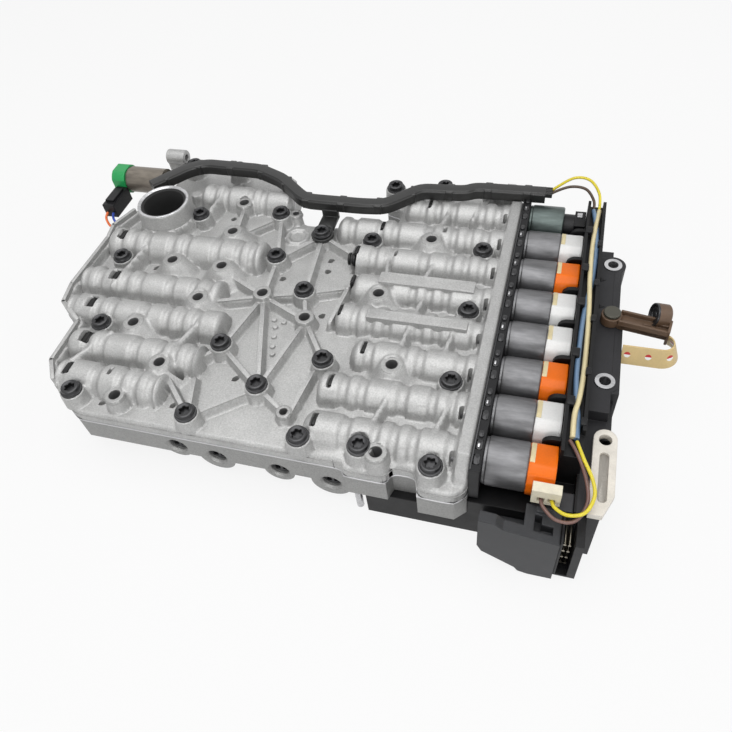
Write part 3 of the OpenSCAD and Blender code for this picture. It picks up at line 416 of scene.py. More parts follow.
@dataclass(frozen=True)
class PaintedLightZoneFinish(Finish):
    """A finish whose colour is scaled outside a line along X: painted shade on a rim, painted sheen on an
    outer flange.
    """

    line: float = 0.0
    scale: float = 1.0
    blur: float = 0.4

    def material(self) -> bpy.types.Material:
        """Builds the material once, with the colour scaled by object X.

        Returns:
            The material of this finish.
        """
        ready = self.name in bpy.data.materials
        made = super().material()
        if ready:
            return made
        tree = made.node_tree
        base = tree.nodes["Principled BSDF"].inputs["Base Color"]
        place = add_node(tree, "TexCoord", {})
        split = add_node(tree, "SeparateXYZ", {0: place.outputs["Object"]})
        outside = add_node(tree, "MapRange", {
            "Value": split.outputs["X"], "From Min": self.line * MM, "From Max": (self.line + self.blur) * MM,
            "To Min": 1.0, "To Max": self.scale})
        scaled = add_node(tree, "VectorMath", {
            0: base.links[0].from_socket, "Scale": outside.outputs["Result"]}, "SCALE")
        tree.links.new(scaled.outputs[0], base)
        return made


# Colour scaled by 0.88 beyond x = 112.6: painted shade on the rim beside the solenoids.
CAST = PaintedLightZoneFinish("die_cast_alloy", (0.42, 0.42, 0.415), 0.47, 0.45, Grain.CAST, line=112.6, scale=0.88)
# Black moulding with its colour scaled by 4.5 beyond x = 174.7: painted sheen on the flange's top.
MODULE = PaintedLightZoneFinish("module_moulding_flange_sheen", (0.0055, 0.0055, 0.006), 0.45, rounding=0.7, shine=0.22,
                    line=174.7, scale=4.5)


@dataclass
class Surface:
    """Points in millimetres and the faces between them."""

    points: Array
    faces: list[Array]


def grid_faces(rows: int, cols: int, close_cols: bool = False) -> Array:
    """Quads between the points of a grid.

    Args:
        rows: Number of rows of points.
        cols: Number of points in a row.
        close_cols: Whether the last column joins the first.

    Returns:
        Array of quads as point numbers.
    """
    i, j = np.meshgrid(np.arange(rows - 1), np.arange(cols if close_cols else cols - 1), indexing="ij")
    i2, j2 = i + 1, (j + 1) % cols
    return np.stack([i * cols + j, i * cols + j2, i2 * cols + j2, i2 * cols + j], -1).reshape(-1, 4)


def round_corners(points: Sequence[Point2], radius: float, steps: int = 4, closed: bool = False) -> Array:
    """A polyline with each corner replaced by a quadratic curve that starts radius before it.

    Args:
        points: Corners of the polyline.
        radius: Distance from a corner at which its curve starts and ends.
        steps: Number of pieces of each curve.
        closed: Whether the line closes on itself.

    Returns:
        Points of the rounded line.
    """
    p = np.asarray(points, float)
    before, after = np.roll(p, 1, 0), np.roll(p, -1, 0)
    arm_a, arm_b = before - p, after - p
    len_a = np.maximum(np.linalg.norm(arm_a, axis=1, keepdims=True), 1e-9)
    len_b = np.maximum(np.linalg.norm(arm_b, axis=1, keepdims=True), 1e-9)
    start = p + arm_a / len_a * np.minimum(radius, 0.45 * len_a)
    end = p + arm_b / len_b * np.minimum(radius, 0.45 * len_b)
    t = np.linspace(0, 1, steps + 1)[None, :, None]
    curve = (1 - t) ** 2 * start[:, None] + 2 * t * (1 - t) * p[:, None] + t**2 * end[:, None]
    if closed:
        return curve.reshape(-1, p.shape[1])
    return np.concatenate([p[:1], curve[1:-1].reshape(-1, p.shape[1]), p[-1:]])


def lathe(profile: Array, origin: Point3, axis: int, sides: int = 48, lobes: Array | None = None) -> Surface:
    """A profile of (radius, along) points turned about an axis; point = origin + along a + r(cos, sin).

    Args:
        profile: Points (radius, along) in order.
        origin: Point on the axis where along is zero.
        axis: Number of the row axis that the profile turns about.
        sides: Points round the turn.
        lobes: Share of six lobed swing in the radius of each profile point.

    Returns:
        The turned surface.
    """
    turn = np.linspace(0, 2 * math.pi, sides, endpoint=False)
    swing = 1 + (lobes[:, None] * np.cos(6 * turn)[None] if lobes is not None else 0)
    radius = profile[:, 0][:, None] * swing
    points = np.zeros((len(profile), sides, 3))
    points[..., axis] = profile[:, 1][:, None]
    points[..., (axis + 1) % 3] = radius * np.cos(turn)[None]
    points[..., (axis + 2) % 3] = radius * np.sin(turn)[None]
    faces = grid_faces(len(profile), sides, close_cols=True)
    return Surface((points + np.asarray(origin, float)).reshape(-1, 3), [faces])


def loft(section: Array, stations: Array, scales: Array, origin: Point3, frame: Array) -> Surface:
    """A closed section carried along a straight line; point = origin + s a + scale (u b + v c).

    Args:
        section: Closed section as (u, v) points.
        stations: Distances along the line.
        scales: Scale of the section at each station, zero to close an end.
        origin: Where the line starts.
        frame: Rows a, b and c of the line's frame.

    Returns:
        The lofted surface.
    """
    u = section[:, 0][None] * scales[:, None]
    v = section[:, 1][None] * scales[:, None]
    s = np.broadcast_to(stations[:, None], u.shape)
    points = s[..., None] * frame[0] + u[..., None] * frame[1] + v[..., None] * frame[2]
    faces = grid_faces(len(stations), len(section), close_cols=True)
    return Surface((points + np.asarray(origin, float)).reshape(-1, 3), [faces])


def rounded_block(low: Point3, high: Point3, radius: float = 0.6, turn: float = 0.0) -> Surface:
    """A block with rounded edges: a rounded rectangle lofted upwards with drawn in ends.

    Args:
        low: Lowest corner before turning.
        high: Highest corner before turning.
        radius: Size of the rounding.
        turn: Turn about the X axis through the middle, in degrees.

    Returns:
        The closed surface.
    """
    lo, hi = np.asarray(low, float), np.asarray(high, float)
    half = (hi - lo) / 2
    section = round_corners(
        [(-half[0], -half[1]), (half[0], -half[1]), (half[0], half[1]), (-half[0], half[1])],
        2 * radius, 4, True,
    )
    edge = min(radius, 0.4 * float(half.min()))
    inset = 1 - edge / float(half[:2].max())
    stations = np.array([-1, -1, -1 + 0.4 * edge / half[2], -1 + edge / half[2],
                         1 - edge / half[2], 1 - 0.4 * edge / half[2], 1, 1]) * half[2]
    scales = np.array([0, inset, 1 - 0.2 * (1 - inset), 1, 1, 1 - 0.2 * (1 - inset), inset, 0])
    a = math.radians(turn)
    frame = np.array([[0, -math.sin(a), math.cos(a)], [1, 0, 0], [0, math.cos(a), math.sin(a)]])
    middle = (lo + hi) / 2
    return loft(section, stations, scales, tuple(middle), frame)


def turned(surface: Surface, centre: Point2, degrees: float) -> Surface:
    """A surface turned about the upright axis through a point: x' = x cos - y sin, y' = x sin + y cos.

    Args:
        surface: The surface before turning.
        centre: Where the axis stands.
        degrees: Angle of the turn.

    Returns:
        The turned surface.
    """
    a = math.radians(degrees)
    x, y = surface.points[:, 0] - centre[0], surface.points[:, 1] - centre[1]
    points = np.stack([centre[0] + x * math.cos(a) - y * math.sin(a),
                       centre[1] + x * math.sin(a) + y * math.cos(a), surface.points[:, 2]], 1)
    return Surface(points, surface.faces)


def smooth_route(points: Sequence[Point3], steps: int) -> Array:
    """A smooth line through points, each stretch a cubic that looks at its two neighbours.

    Args:
        points: Points that the line passes.
        steps: Pieces of each stretch.

    Returns:
        Points along the line.
    """
    p = np.asarray(points, float)
    q = np.concatenate([p[:1], p, p[-1:]])
    a, b, c, d = (q[i : len(q) - 3 + i][:, None] for i in range(4))
    t = np.linspace(0, 1, steps, endpoint=False)[None, :, None]
    line = (2 * b + (c - a) * t + (2 * a - 5 * b + 4 * c - d) * t**2 + (3 * b - a - 3 * c + d) * t**3) / 2
    return np.concatenate([line.reshape(-1, p.shape[1]), p[-1:]])


def sweep(path: Array, section: Array, up: Point3 = (0, 0, 1)) -> Surface:
    """A section carried along a path; point = path + u side + v rise, with side square to path and up.

    At both ends the section shrinks to its middle, which closes them.

    Args:
        path: Points of the path.
        section: Closed section as (side, rise) points.
        up: Direction that rise leans to.

    Returns:
        The swept surface.
    """
    along = np.gradient(path, axis=0)
    along /= np.linalg.norm(along, axis=1, keepdims=True)
    side = np.cross(along, np.asarray(up, float))
    side /= np.maximum(np.linalg.norm(side, axis=1, keepdims=True), 1e-9)
    rise = np.cross(side, along)
    path, side, rise = (np.concatenate([a[:1], a, a[-1:]])[:, None] for a in (path, side, rise))
    scale = np.ones(len(path))
    scale[[0, -1]] = 0
    middle = section.mean(0)
    spread = middle + (section - middle)[None] * scale[:, None, None]
    points = path + spread[..., :1] * side + spread[..., 1:] * rise
    faces = grid_faces(len(path), len(section), close_cols=True)
    return Surface(points.reshape(-1, 3), [faces])


def circle(radius: float, sides: int) -> Array:
    """Points of a circle as a closed section."""
    a = np.linspace(0, 2 * math.pi, sides, endpoint=False)
    return radius * np.stack([np.cos(a), np.sin(a)], 1)


def mesh_object(name: str, parts: Sequence[Surface], closed: bool = True,
                sharp: float = 35.0) -> bpy.types.Object:
    """Puts surfaces into one mesh object at the origin.

    Args:
        name: Name of the piece.
        parts: Surfaces of the piece.
        closed: Whether the surfaces are shells, whose points are merged and normals turned outwards.
        sharp: Angle in degrees above which an edge stays hard.

    Returns:
        The new object.
    """
    points = np.concatenate([s.points for s in parts]) * MM
    starts = np.cumsum([0] + [len(s.points) for s in parts[:-1]])
    faces = [f + start for s, start in zip(parts, starts) for f in s.faces]
    mesh = bpy.data.meshes.new(name)
    mesh.vertices.add(len(points))
    mesh.vertices.foreach_set("co", points.astype(np.float32).ravel())
    sizes = np.concatenate([np.full(len(f), f.shape[1], np.int32) for f in faces])
    loops = np.concatenate([f.ravel() for f in faces]).astype(np.int32)
    mesh.loops.add(len(loops))
    mesh.loops.foreach_set("vertex_index", loops)
    mesh.polygons.add(len(sizes))
    mesh.polygons.foreach_set("loop_start", (np.cumsum(sizes) - sizes).astype(np.int32))
    mesh.polygons.foreach_set("loop_total", sizes)
    mesh.update(calc_edges=True)
    mesh.validate()
    if closed:
        work = bmesh.new()
        work.from_mesh(mesh)
        bmesh.ops.remove_doubles(work, verts=work.verts, dist=1e-6)
        bmesh.ops.recalc_face_normals(work, faces=work.faces)
        work.to_mesh(mesh)
        work.free()
    mesh.polygons.foreach_set("use_smooth", np.ones(len(mesh.polygons), bool))
    mesh.set_sharp_from_angle(angle=math.radians(sharp))
    made = bpy.data.objects.new(name, mesh)
    bpy.context.scene.collection.objects.link(made)
    return made


def make_piece(name: str, parts: Sequence[Surface], finish: Finish, slot: str, body: str = "housing",
               nodes: Sequence[str] = (), **shape: Any) -> bpy.types.Object:
    """Makes a piece with its finish, its body and the CAD nodes that it stands for.

    Args:
        name: Name of the piece.
        parts: Surfaces of the piece.
        finish: Its finish.
        slot: The record's material slot; not used.
        body: The body that it rides on.
        nodes: CAD nodes that it replaces.
        shape: How the mesh is closed and which edges stay hard, as mesh_object takes them.

    Returns:
        The new piece.
    """
    made = mesh_object(name, parts, **shape)
    made.data.materials.append(finish.material())
    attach(made, body)
    if nodes:
        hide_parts(*nodes)
    LOG.info("piece %s: %d faces", made.name, len(made.data.polygons))
    return made


def smooth_max(a: Array, b: Array, width: float) -> Array:
    """The larger of two heights with a fillet of about that width where they cross."""
    m = np.maximum(width - np.abs(a - b), 0) / width
    return np.maximum(a, b) + m * m * width / 4


def smooth_min(a: Array, b: Array, width: float) -> Array:
    """The smaller of two heights with a rounding of about that width where they cross."""
    return -smooth_max(-np.asarray(a, float), -np.asarray(b, float), width)


def from_point(x: Array, y: Array, p: Point2) -> Array:
    """Distance of each point from the point p."""
    return np.hypot(x - p[0], y - p[1])


def within(x: Array, y: Array, middle: Point2, half: Point2) -> Array:
    """Distance of each point inside a rectangle given by its middle and half size, negative outside."""
    return np.minimum(half[0] - np.abs(x - middle[0]), half[1] - np.abs(y - middle[1]))


def segment_distance(x: Array, y: Array, a: Point2, b: Point2) -> tuple[Array, Array, Array]:
    """Distance of each point to the segment a b, and the nearest point on it.

    Args:
        x: First coordinates.
        y: Second coordinates.
        a: One end.
        b: Other end.

    Returns:
        Distance and the nearest point's two coordinates.
    """
    dx, dy = b[0] - a[0], b[1] - a[1]
    t = np.clip(((x - a[0]) * dx + (y - a[1]) * dy) / (dx * dx + dy * dy), 0, 1)
    nx, ny = a[0] + t * dx, a[1] + t * dy
    return np.hypot(x - nx, y - ny), nx, ny


@dataclass
class CastDeck:
    """The upper casting as one height surface, with its walls, hole rims and suction port."""

    step: float = 0.85
    fillet: float = 2.4
    bulge_fillet: float = 5.0
    bulge_grow: float = 0.7
    left_dome: float = 9.0
    flash_z: float = 46.2
    ring_slope: float = 1.1
    valley_z: float = 50.2
    edge_round: float = 1.6
    corner: float = 5.0
    wall_slope: float = 7.0
    rib_slope: float = 5.0
    rib_z: float = 54.5
    fin_z: float = 59.0
    rib_w: float = 2.4
    rib_clear: float = 4.6
    pad_z: float = 62.2
    lip_z: float = 57.2
    boss_r: float = 7.2
    post_r: float = 6.2
    right_slot: Point2 = (1.15, 4.5)
    left_slot: Point2 = (3.0, 4.5)
    rim_slit: Point2 = (0.6, 2.5)
    slot_soft: float = 0.2
    bore_ends: tuple[Point2, ...] = ((11.6, 48.2),)
    bore_end_z: float = 53.6
    valley_x: float = 30.0
    valley_run: float = 14.0
    front_run: float = 6.0
    wave: Point3 = (0.12, 17.0, 13.0)
    bulge_slope: float = 6.0
    small_r: float = 4.6
    plain_r: float = 4.2
    rim_w: float = 7.5
    rim_back: float = 115.0
    lip_half: float = 1.5
    lip_in: float = 2.9
    slot_depth: float = 12.0

    def flat_top(self, inside: Array, top: Array | float, slope: float, width: float = 1.2) -> Array:
        """Height of a form with a flat top: min(top, top + inside * slope), rounded at the edge.

        Args:
            inside: Distance inside the edge of the top, negative outside.
            top: Height of the top.
            slope: Steepness of the sides.
            width: Size of the rounding.

        Returns:
            Heights.
        """
        return smooth_min(np.broadcast_to(top, inside.shape), top + inside * slope, width)

    def bulge(self, x: Array, y: Array, row: tuple[float, float, float, float], first: int,
              dome: Point2) -> Array:
        """Height of a ringed bore bulge: axis + sqrt(r(x)^2 - (y - y0)^2), r from the ring table.

        Args:
            x: First coordinates.
            y: Second coordinates.
            row: Place along Y, left end, right end and radius.
            first: First entry of the ring table.
            dome: Length of the rounded left and right end.

        Returns:
            Heights.
        """
        y0, x0, x1, radius = row
        xs, rs, at, i = [], [], x0, first
        while at < x1:
            length, change = RING_STEP[i % len(RING_STEP)]
            xs += [at + self.ring_slope, min(at + length, x1) - self.ring_slope + 1e-3]
            rs += [radius + change] * 2
            at += length
            i += 1
        r = np.interp(x, np.maximum.accumulate(xs), rs)
        left, right = (x - x0) / dome[0], (x1 - x) / dome[1]
        end = np.clip(np.minimum(left, right), 0, 1)
        r = np.maximum(r * np.sqrt(1 - (1 - end) ** 2), 1e-3)
        off, steep = np.abs(y - y0), self.bulge_slope
        crown = AXIS_Z + np.sqrt(np.maximum(r * r - off * off, 0))
        z = np.where(off < r, crown, AXIS_Z + (r - off) * steep)
        return z + steep * np.minimum(np.minimum(x - x0, x1 - x), 0)

    def bulges(self, x: Array, y: Array) -> list[Array]:
        """Heights of all the bore bulges.

        Args:
            x: First coordinates.
            y: Second coordinates.

        Returns:
            One array of heights for each bulge.
        """
        grow = self.bulge_grow
        forms = [self.bulge(x, y, (right_y(k), x0, EDGE_X - 6, BULGE_R + grow), k * 3, (5, 1))
                 for k, (x0, _) in enumerate(RIGHT_ROWS)]
        forms += [self.bulge(x, y, (y0, x0, x1, r + grow), k * 2, (self.left_dome, 4))
                  for k, (y0, x0, x1, r, _) in enumerate(LEFT_ROWS)]
        return forms + [self.bulge(x, y, DUCT_BULGE, 1, (5, 5))]

    def heights(self, x: Array, y: Array) -> Array:
        """Height of the casting: smooth maximum of deck, bulges, bosses, ribs and rims, less the cuts.

        Args:
            x: First coordinates.
            y: Second coordinates.

        Returns:
            Heights.
        """
        rise = np.clip((x - self.valley_x) / self.valley_run, 0, 1)
        front = np.clip((y - FRONT_Y) / self.front_run, 0, 1)
        rise = (self.valley_z - DECK_Z) * rise * rise * (3 - 2 * rise) * front
        swell, long_x, long_y = self.wave
        z = DECK_Z + rise + swell * np.sin(x / long_x) * np.cos(y / long_y)
        for form in self.bulges(x, y):
            z = smooth_max(z, form, self.bulge_fillet)
        radii, rises = np.array(BELL_SKIRT).T
        forms = [np.interp(from_point(x, y, p), radii, rises + DECK_Z) for p in BELL_HOLES]
        steep = self.wall_slope
        for places, radius, top in ((POST_HOLES, self.post_r, BOSS_Z + 1),
                                    (SMALL_HOLES, self.small_r, BOSS_Z - 1.5),
                                    ([PLAIN_POST], self.plain_r, BOSS_Z)):
            forms += [self.flat_top(radius - from_point(x, y, p), top, steep) for p in places]
        (x0, y0), (x1, y1) = STOP_BLOCK
        inside = np.minimum(np.minimum(x - x0, x1 - x), np.minimum(y - y0, y1 - y))
        forms.append(self.flat_top(inside, DECK_Z + 14, steep))
        for i, p in enumerate(BOLTS):
            top = BOSS_Z - CLIP_DROP if i == CLIP_BOLT else BOSS_Z
            forms.append(self.flat_top(self.boss_r - from_point(x, y, p), top, steep))
        for lines, top in ((RIBS, self.rib_z), (FINS, self.fin_z)):
            for a, b in lines:
                off = segment_distance(x, y, a, b)[0]
                forms.append(self.flat_top(self.rib_w / 2 - off, top, self.rib_slope, 1.0))
        places, rises = np.array(RIM_RISE, float).T
        rim = np.minimum(x - EDGE_X + self.rim_w, self.rim_back - y)
        forms.append(self.flat_top(rim, np.interp(y, places, rises + DECK_Z), self.rib_slope))
        for i in LIP_SIDES:
            off = segment_distance(x, y, OUTLINE[i], OUTLINE[i + 1])[0]
            inside = self.lip_half - np.abs(off - self.lip_in)
            forms.append(self.flat_top(inside, DECK_Z + 6, self.rib_slope))
        across = np.max([(x - OCTAGON[0]) * math.cos(a) + (y - OCTAGON[1]) * math.sin(a)
                         for a in np.arange(8) * math.pi / 4], axis=0)
        forms.append(self.flat_top(1.0 - np.abs(across - OCTAGON_R), DECK_Z + 1.5, 2.5, 0.6))
        forms.append(np.interp(from_point(x, y, PORT), *np.array(PORT_FOOT).T))
        for form in forms:
            z = smooth_max(z, form, self.fillet)
        return self.cut(x, y, z)

    def cut(self, x: Array, y: Array, z: Array) -> Array:
        """Lowers the heights at spot faces, slots, rim slits and floor holes.

        Args:
            x: First coordinates.
            y: Second coordinates.
            z: Heights before the cuts.

        Returns:
            Heights after the cuts.
        """
        for i, p in enumerate(BOLTS):
            seat, r = (SEAT_Z - CLIP_DROP, 8.5) if i == CLIP_BOLT else (SEAT_Z, 6.6)
            z = np.minimum(z, seat + self.wall_slope * np.maximum(from_point(x, y, p) - r, 0))
        for p in FLOOR_HOLES:
            z = np.where(from_point(x, y, p) < FLOOR_HOLE_R, np.minimum(z, SPLIT_Z + 1), z)
        soft = self.slot_soft
        for middle, half in SLOTS:
            inside = within(x, y, middle, half) + soft
            z = np.where(inside > 0, z - np.minimum(14 * inside, self.slot_depth), z)
        for k, (_, slot) in enumerate(RIGHT_ROWS):
            inside = within(x, y, (slot, right_y(k)), self.right_slot) + soft
            z = np.where(inside > 0, np.minimum(z, 61 - 16 * inside), z)
            inside = within(x, y, (EDGE_X - 10.5, right_y(k) - 7), self.rim_slit)
            z = np.where(inside > 0, np.minimum(z, DECK_Z + 3), z)
        for y0, _, _, r, slot in LEFT_ROWS:
            inside = within(x, y, (slot, y0), self.left_slot) + soft
            floor = np.maximum(AXIS_Z + r + 1 - 10 * inside, AXIS_Z)
            z = np.where(inside > 0, np.minimum(z, floor), z)
        return z

    def bored(self, x: Array, y: Array) -> Array:
        """Tells which points lie over a through hole or the port.

        Args:
            x: First coordinates.
            y: Second coordinates.

        Returns:
            True where the casting is open.
        """
        mouths = [(p, kind[1]) for kind in HOLE_KINDS for p in kind[0]] + [(PORT, PORT_R)]
        return np.any([from_point(x, y, p) < r + 1.0 for p, r in mouths], axis=0)

    def skin(self) -> Surface:
        """The height surface inside the outline and its walls down to the split, where it meets the plate.

        Grid points near the outline are drawn onto it; z falls by a quarter round at the edge.

        Returns:
            The surface, open only at the split.
        """
        out = round_corners(OUTLINE, self.corner, 4, True)
        lo, hi = out.min(0) - self.step, out.max(0) + self.step
        gx, gy = np.arange(lo[0], hi[0], self.step), np.arange(lo[1], hi[1], self.step)
        x, y = (a.ravel() for a in np.meshgrid(gx, gy, indexing="ij"))
        gap = np.full(x.shape, 1e9)
        near_x, near_y = x.copy(), y.copy()
        inside = np.zeros(x.shape, bool)
        for a, b in zip(out, np.roll(out, -1, 0)):
            d, nx, ny = segment_distance(x, y, a, b)
            closer = d < gap
            gap = np.where(closer, d, gap)
            near_x, near_y = np.where(closer, nx, near_x), np.where(closer, ny, near_y)
            crosses = (a[1] > y) != (b[1] > y)
            inside ^= crosses & (x < a[0] + (y - a[1]) * (b[0] - a[0]) / ((b[1] - a[1]) or 1e-9))
        snap = gap < 0.71 * self.step
        x, y = np.where(snap, near_x, x), np.where(snap, near_y, y)
        valid = (inside | snap) & ~self.bored(x, y)
        depth = np.where(snap, 0, gap)
        r = self.edge_round
        drop = np.where(depth < r, r - np.sqrt(np.maximum(r * r - (r - depth) ** 2, 0)), 0)
        z = np.full(x.shape, SPLIT_Z)
        z[valid] = self.heights(x[valid], y[valid])
        z = np.maximum(z - drop, SPLIT_Z + 1)
        quads = grid_faces(len(gx), len(gy))
        tris = np.concatenate([quads[:, [0, 2, 1]], quads[:, [0, 3, 2]]])
        tris = tris[valid[tris].all(1)]
        area = np.abs((x[tris[:, 1]] - x[tris[:, 0]]) * (y[tris[:, 2]] - y[tris[:, 0]])
                      - (x[tris[:, 2]] - x[tris[:, 0]]) * (y[tris[:, 1]] - y[tris[:, 0]]))
        tris = tris[area > 1e-6]
        edges = np.concatenate([tris[:, [0, 1]], tris[:, [1, 2]], tris[:, [2, 0]]])
        key = np.sort(edges, 1)
        key = key[:, 0] * len(x) + key[:, 1]
        _, back, count = np.unique(key, return_inverse=True, return_counts=True)
        rim = edges[count[back] == 1]
        used, compact = np.unique(tris, return_inverse=True)
        tris = compact.reshape(tris.shape)
        rim = np.searchsorted(used, rim)
        top = np.stack([x[used], y[used], z[used]], 1)
        foot_of, foot = np.unique(rim, return_inverse=True)
        foot = foot.reshape(rim.shape) + len(top)
        feet = top[foot_of].copy()
        feet[:, 2] = SPLIT_Z
        walls = np.stack([rim[:, 1], rim[:, 0], foot[:, 0], foot[:, 1]], 1)
        return Surface(np.concatenate([top, feet]), [tris, walls])

    def slot_clips_and_shade(self) -> list[Surface]:
        """Black clip ends that show in the slots of the bulges and at the open bore ends; in the narrow
        right-bank slits they also stand in as painted shade.

        Returns:
            One rounded block for each slot, and ribbed ends.
        """
        clips = []
        # Right-bank blocks fill the narrow slits in black: partly the real clips, partly painted shade of the
        # slits.
        for k, (_, slot) in enumerate(RIGHT_ROWS):
            y, top = right_y(k), AXIS_Z + BULGE_R + self.bulge_grow - 0.9
            clips.append(rounded_block((slot - 1.2, y - 3.4, top - 5), (slot + 1.2, y + 2.2, top), 0.4))
        for y, _, _, r, slot in LEFT_ROWS:
            top = AXIS_Z + r + self.bulge_grow - 1.4
            clips.append(rounded_block((slot - 2.7, y - 4.0, top - 6), (slot + 2.7, y + 4.0, top - 0.6), 0.5))
        for x, y in self.bore_ends:
            for i in range(3):
                r, low, high = 4.4 - 0.5 * (i % 2), i * 1.7, i * 1.7 + 1.6
                line = round_corners([(0, low), (r, low), (r, high), (0, high)], 0.3)
                clips.append(lathe(line, (x, y, self.bore_end_z), 0, 32))
        return clips

    def crisp_forms(self) -> list[Surface]:
        """Ribs, boss collars, pads, the left lip and dots, whose edges are finer than the height grid.

        A rib is a rounded block turned to its line; a collar or dot is a turned profile.

        Returns:
            One surface for each form.
        """
        forms = []
        holes = BELL_HOLES + POST_HOLES + SMALL_HOLES
        for a, b in RIBS:
            length, half = math.dist(a, b), self.rib_w / 2 + 0.15
            start, stop = (self.rib_clear if end in holes else 0.0 for end in (a, b))
            block = rounded_block((a[0] + start, a[1] - half, DECK_Z - 2),
                                  (a[0] + length - stop, a[1] + half, self.rib_z + 0.25), 0.35)
            forms.append(turned(block, a, math.degrees(math.atan2(b[1] - a[1], b[0] - a[0]))))
        for i, (x, y) in enumerate(BOLTS):
            r, seat = self.boss_r, SEAT_Z - CLIP_DROP if i == CLIP_BOLT else SEAT_Z
            line = round_corners([(5, seat + 0.03), (r, seat + 0.03), (r + 0.25, seat - 0.8),
                                  (r + 0.9, DECK_Z - 1)], 0.4)
            forms.append(lathe(line, (x, y, 0), 2, 48))
        forms += [rounded_block((x0, y0, AXIS_Z), (x1, y1, self.pad_z), 0.5) for (x0, y0), (x1, y1) in PADS]
        for i in LIP_SIDES:
            (ax, ay), (bx, by) = OUTLINE[i : i + 2]
            length = math.hypot(bx - ax, by - ay)
            low, high = (ax - 0.6, ay + 0.4, DECK_Z - 2), (ax + length + 0.6, ay + 3.0, self.lip_z)
            block = rounded_block(low, high, 0.6)
            forms.append(turned(block, (ax, ay), math.degrees(math.atan2(by - ay, bx - ax))))
        dot = round_corners([(0, DECK_Z + 1.5), (DOT_R - 0.2, DECK_Z + 1.5), (DOT_R + 0.2, DECK_Z - 1)], 0.3)
        return forms + [lathe(dot, (x, y, 0), 2, 24) for x, y in DOTS]

    def hole_rims(self) -> list[Surface]:
        """Turned rims of the case bolt and dowel holes, in a darker copy of the cast alloy as painted shade.

        Returns:
            One turned surface for each hole.
        """
        rims = []
        for places, hole, outer, top in HOLE_KINDS:
            line = round_corners(
                [(hole, top - 1.6), (hole, top + 0.06), (outer, top + 0.06), (outer + 0.7, top - 2.4)], 0.5)
            rims += [lathe(line, (*p, 0), 2, 40) for p in places]
        return rims

    def hole_bores(self) -> list[Surface]:
        """Walls of the case bolt and dowel holes below their rims, coloured dark as painted shade inside the
        holes.

        Returns:
            One turned surface for each hole.
        """
        bores = []
        for places, hole, _, top in HOLE_KINDS:
            line = np.array([(hole - 0.02, SPLIT_Z), (hole - 0.02, top - 0.5)])
            bores += [lathe(line, (*p, 0), 2, 40) for p in places]
        return bores

    def port(self) -> None:
        """Makes the suction port's wall and its bright rim, two turned profiles."""
        r, outer, top = PORT_R, PORT_R + PORT_WALL, PORT_TOP
        wall = round_corners(
            [(r, SPLIT_Z + 3), (r, top - 1), (r + 0.9, top), (outer - 0.6, top), (outer, top - 1.2),
             (outer + 1.0, 58), (outer + 2.2, 50)], 0.8)
        make_piece("suction_port_wall", [lathe(wall, (*PORT, 0), 2, 72)], CAST, "cast_alloy", closed=False)
        rim = round_corners(
            [(r - 0.05, top - 2.4), (r - 0.05, top - 0.9), (r + 0.9, top + 0.06), (outer - 0.7, top + 0.06),
             (outer - 0.4, top - 0.3)], 0.3)
        make_piece("suction_port_rim", [lathe(rim, (*PORT, 0), 2, 72)], MACHINED, "turned_alloy",
                   closed=False)

    def edges(self) -> None:
        """Makes the separator plate's edge and the flash above it, beads swept round the outline; the flash
        takes the darker rim alloy as a painted shade line.
        """
        bead = np.array([(0.35, 0), (0.45, 0.12), (0.45, 0.88), (0.35, 1.0), (-0.8, 1.0), (-0.8, 0)])
        line = round_corners(OUTLINE, self.corner, 4, True)
        line = np.column_stack([np.concatenate([line, line[:1]]), np.full(len(line) + 1, SPLIT_Z - 1.0)])
        make_piece("separator_plate_edge", [sweep(line, bead)], PLATE, "plate_steel")
        flash = line + np.array([0, 0, self.flash_z - SPLIT_Z])
        make_piece("deck_edge_flash", [sweep(flash, bead * (1, 0.6))], CAST_RIM_SHADE, "cast_alloy")

    def lug(self) -> None:
        """Makes the lug at the back left: a turned eye on a rounded block."""
        eye = round_corners([(2.6, 0), (5.4, 0), (6, 0.6), (6, 15.4), (5.4, 16), (2.6, 16), (2.6, 0)], 0.3)
        parts = [lathe(eye, (-168, 137, DECK_Z + 13), 0, 40),
                 rounded_block((-168, 131.4, DECK_Z - 6), (-152, 142.4, DECK_Z + 10.6), 1.4)]
        make_piece("back_lug", parts, CAST, "cast_alloy")

    def build(self) -> None:
        """Makes the casting's pieces."""
        make_piece("cast_deck", [self.skin()], CAST, "cast_alloy", nodes=["valve_housing"], closed=False,
                   sharp=60)
        make_piece("deck_ribs_and_collars", self.crisp_forms(), CAST, "cast_alloy", closed=False, sharp=50)
        make_piece("case_hole_rims", self.hole_rims(), CAST_RIM_SHADE, "cast_alloy", closed=False)
        make_piece("case_hole_bores", self.hole_bores(), BORE_SHADE, "cast_alloy", closed=False)
        make_piece("slot_clip_ends_and_shade", self.slot_clips_and_shade(), CLIP, "clip_steel")
        self.port()
        self.edges()
        self.lug()


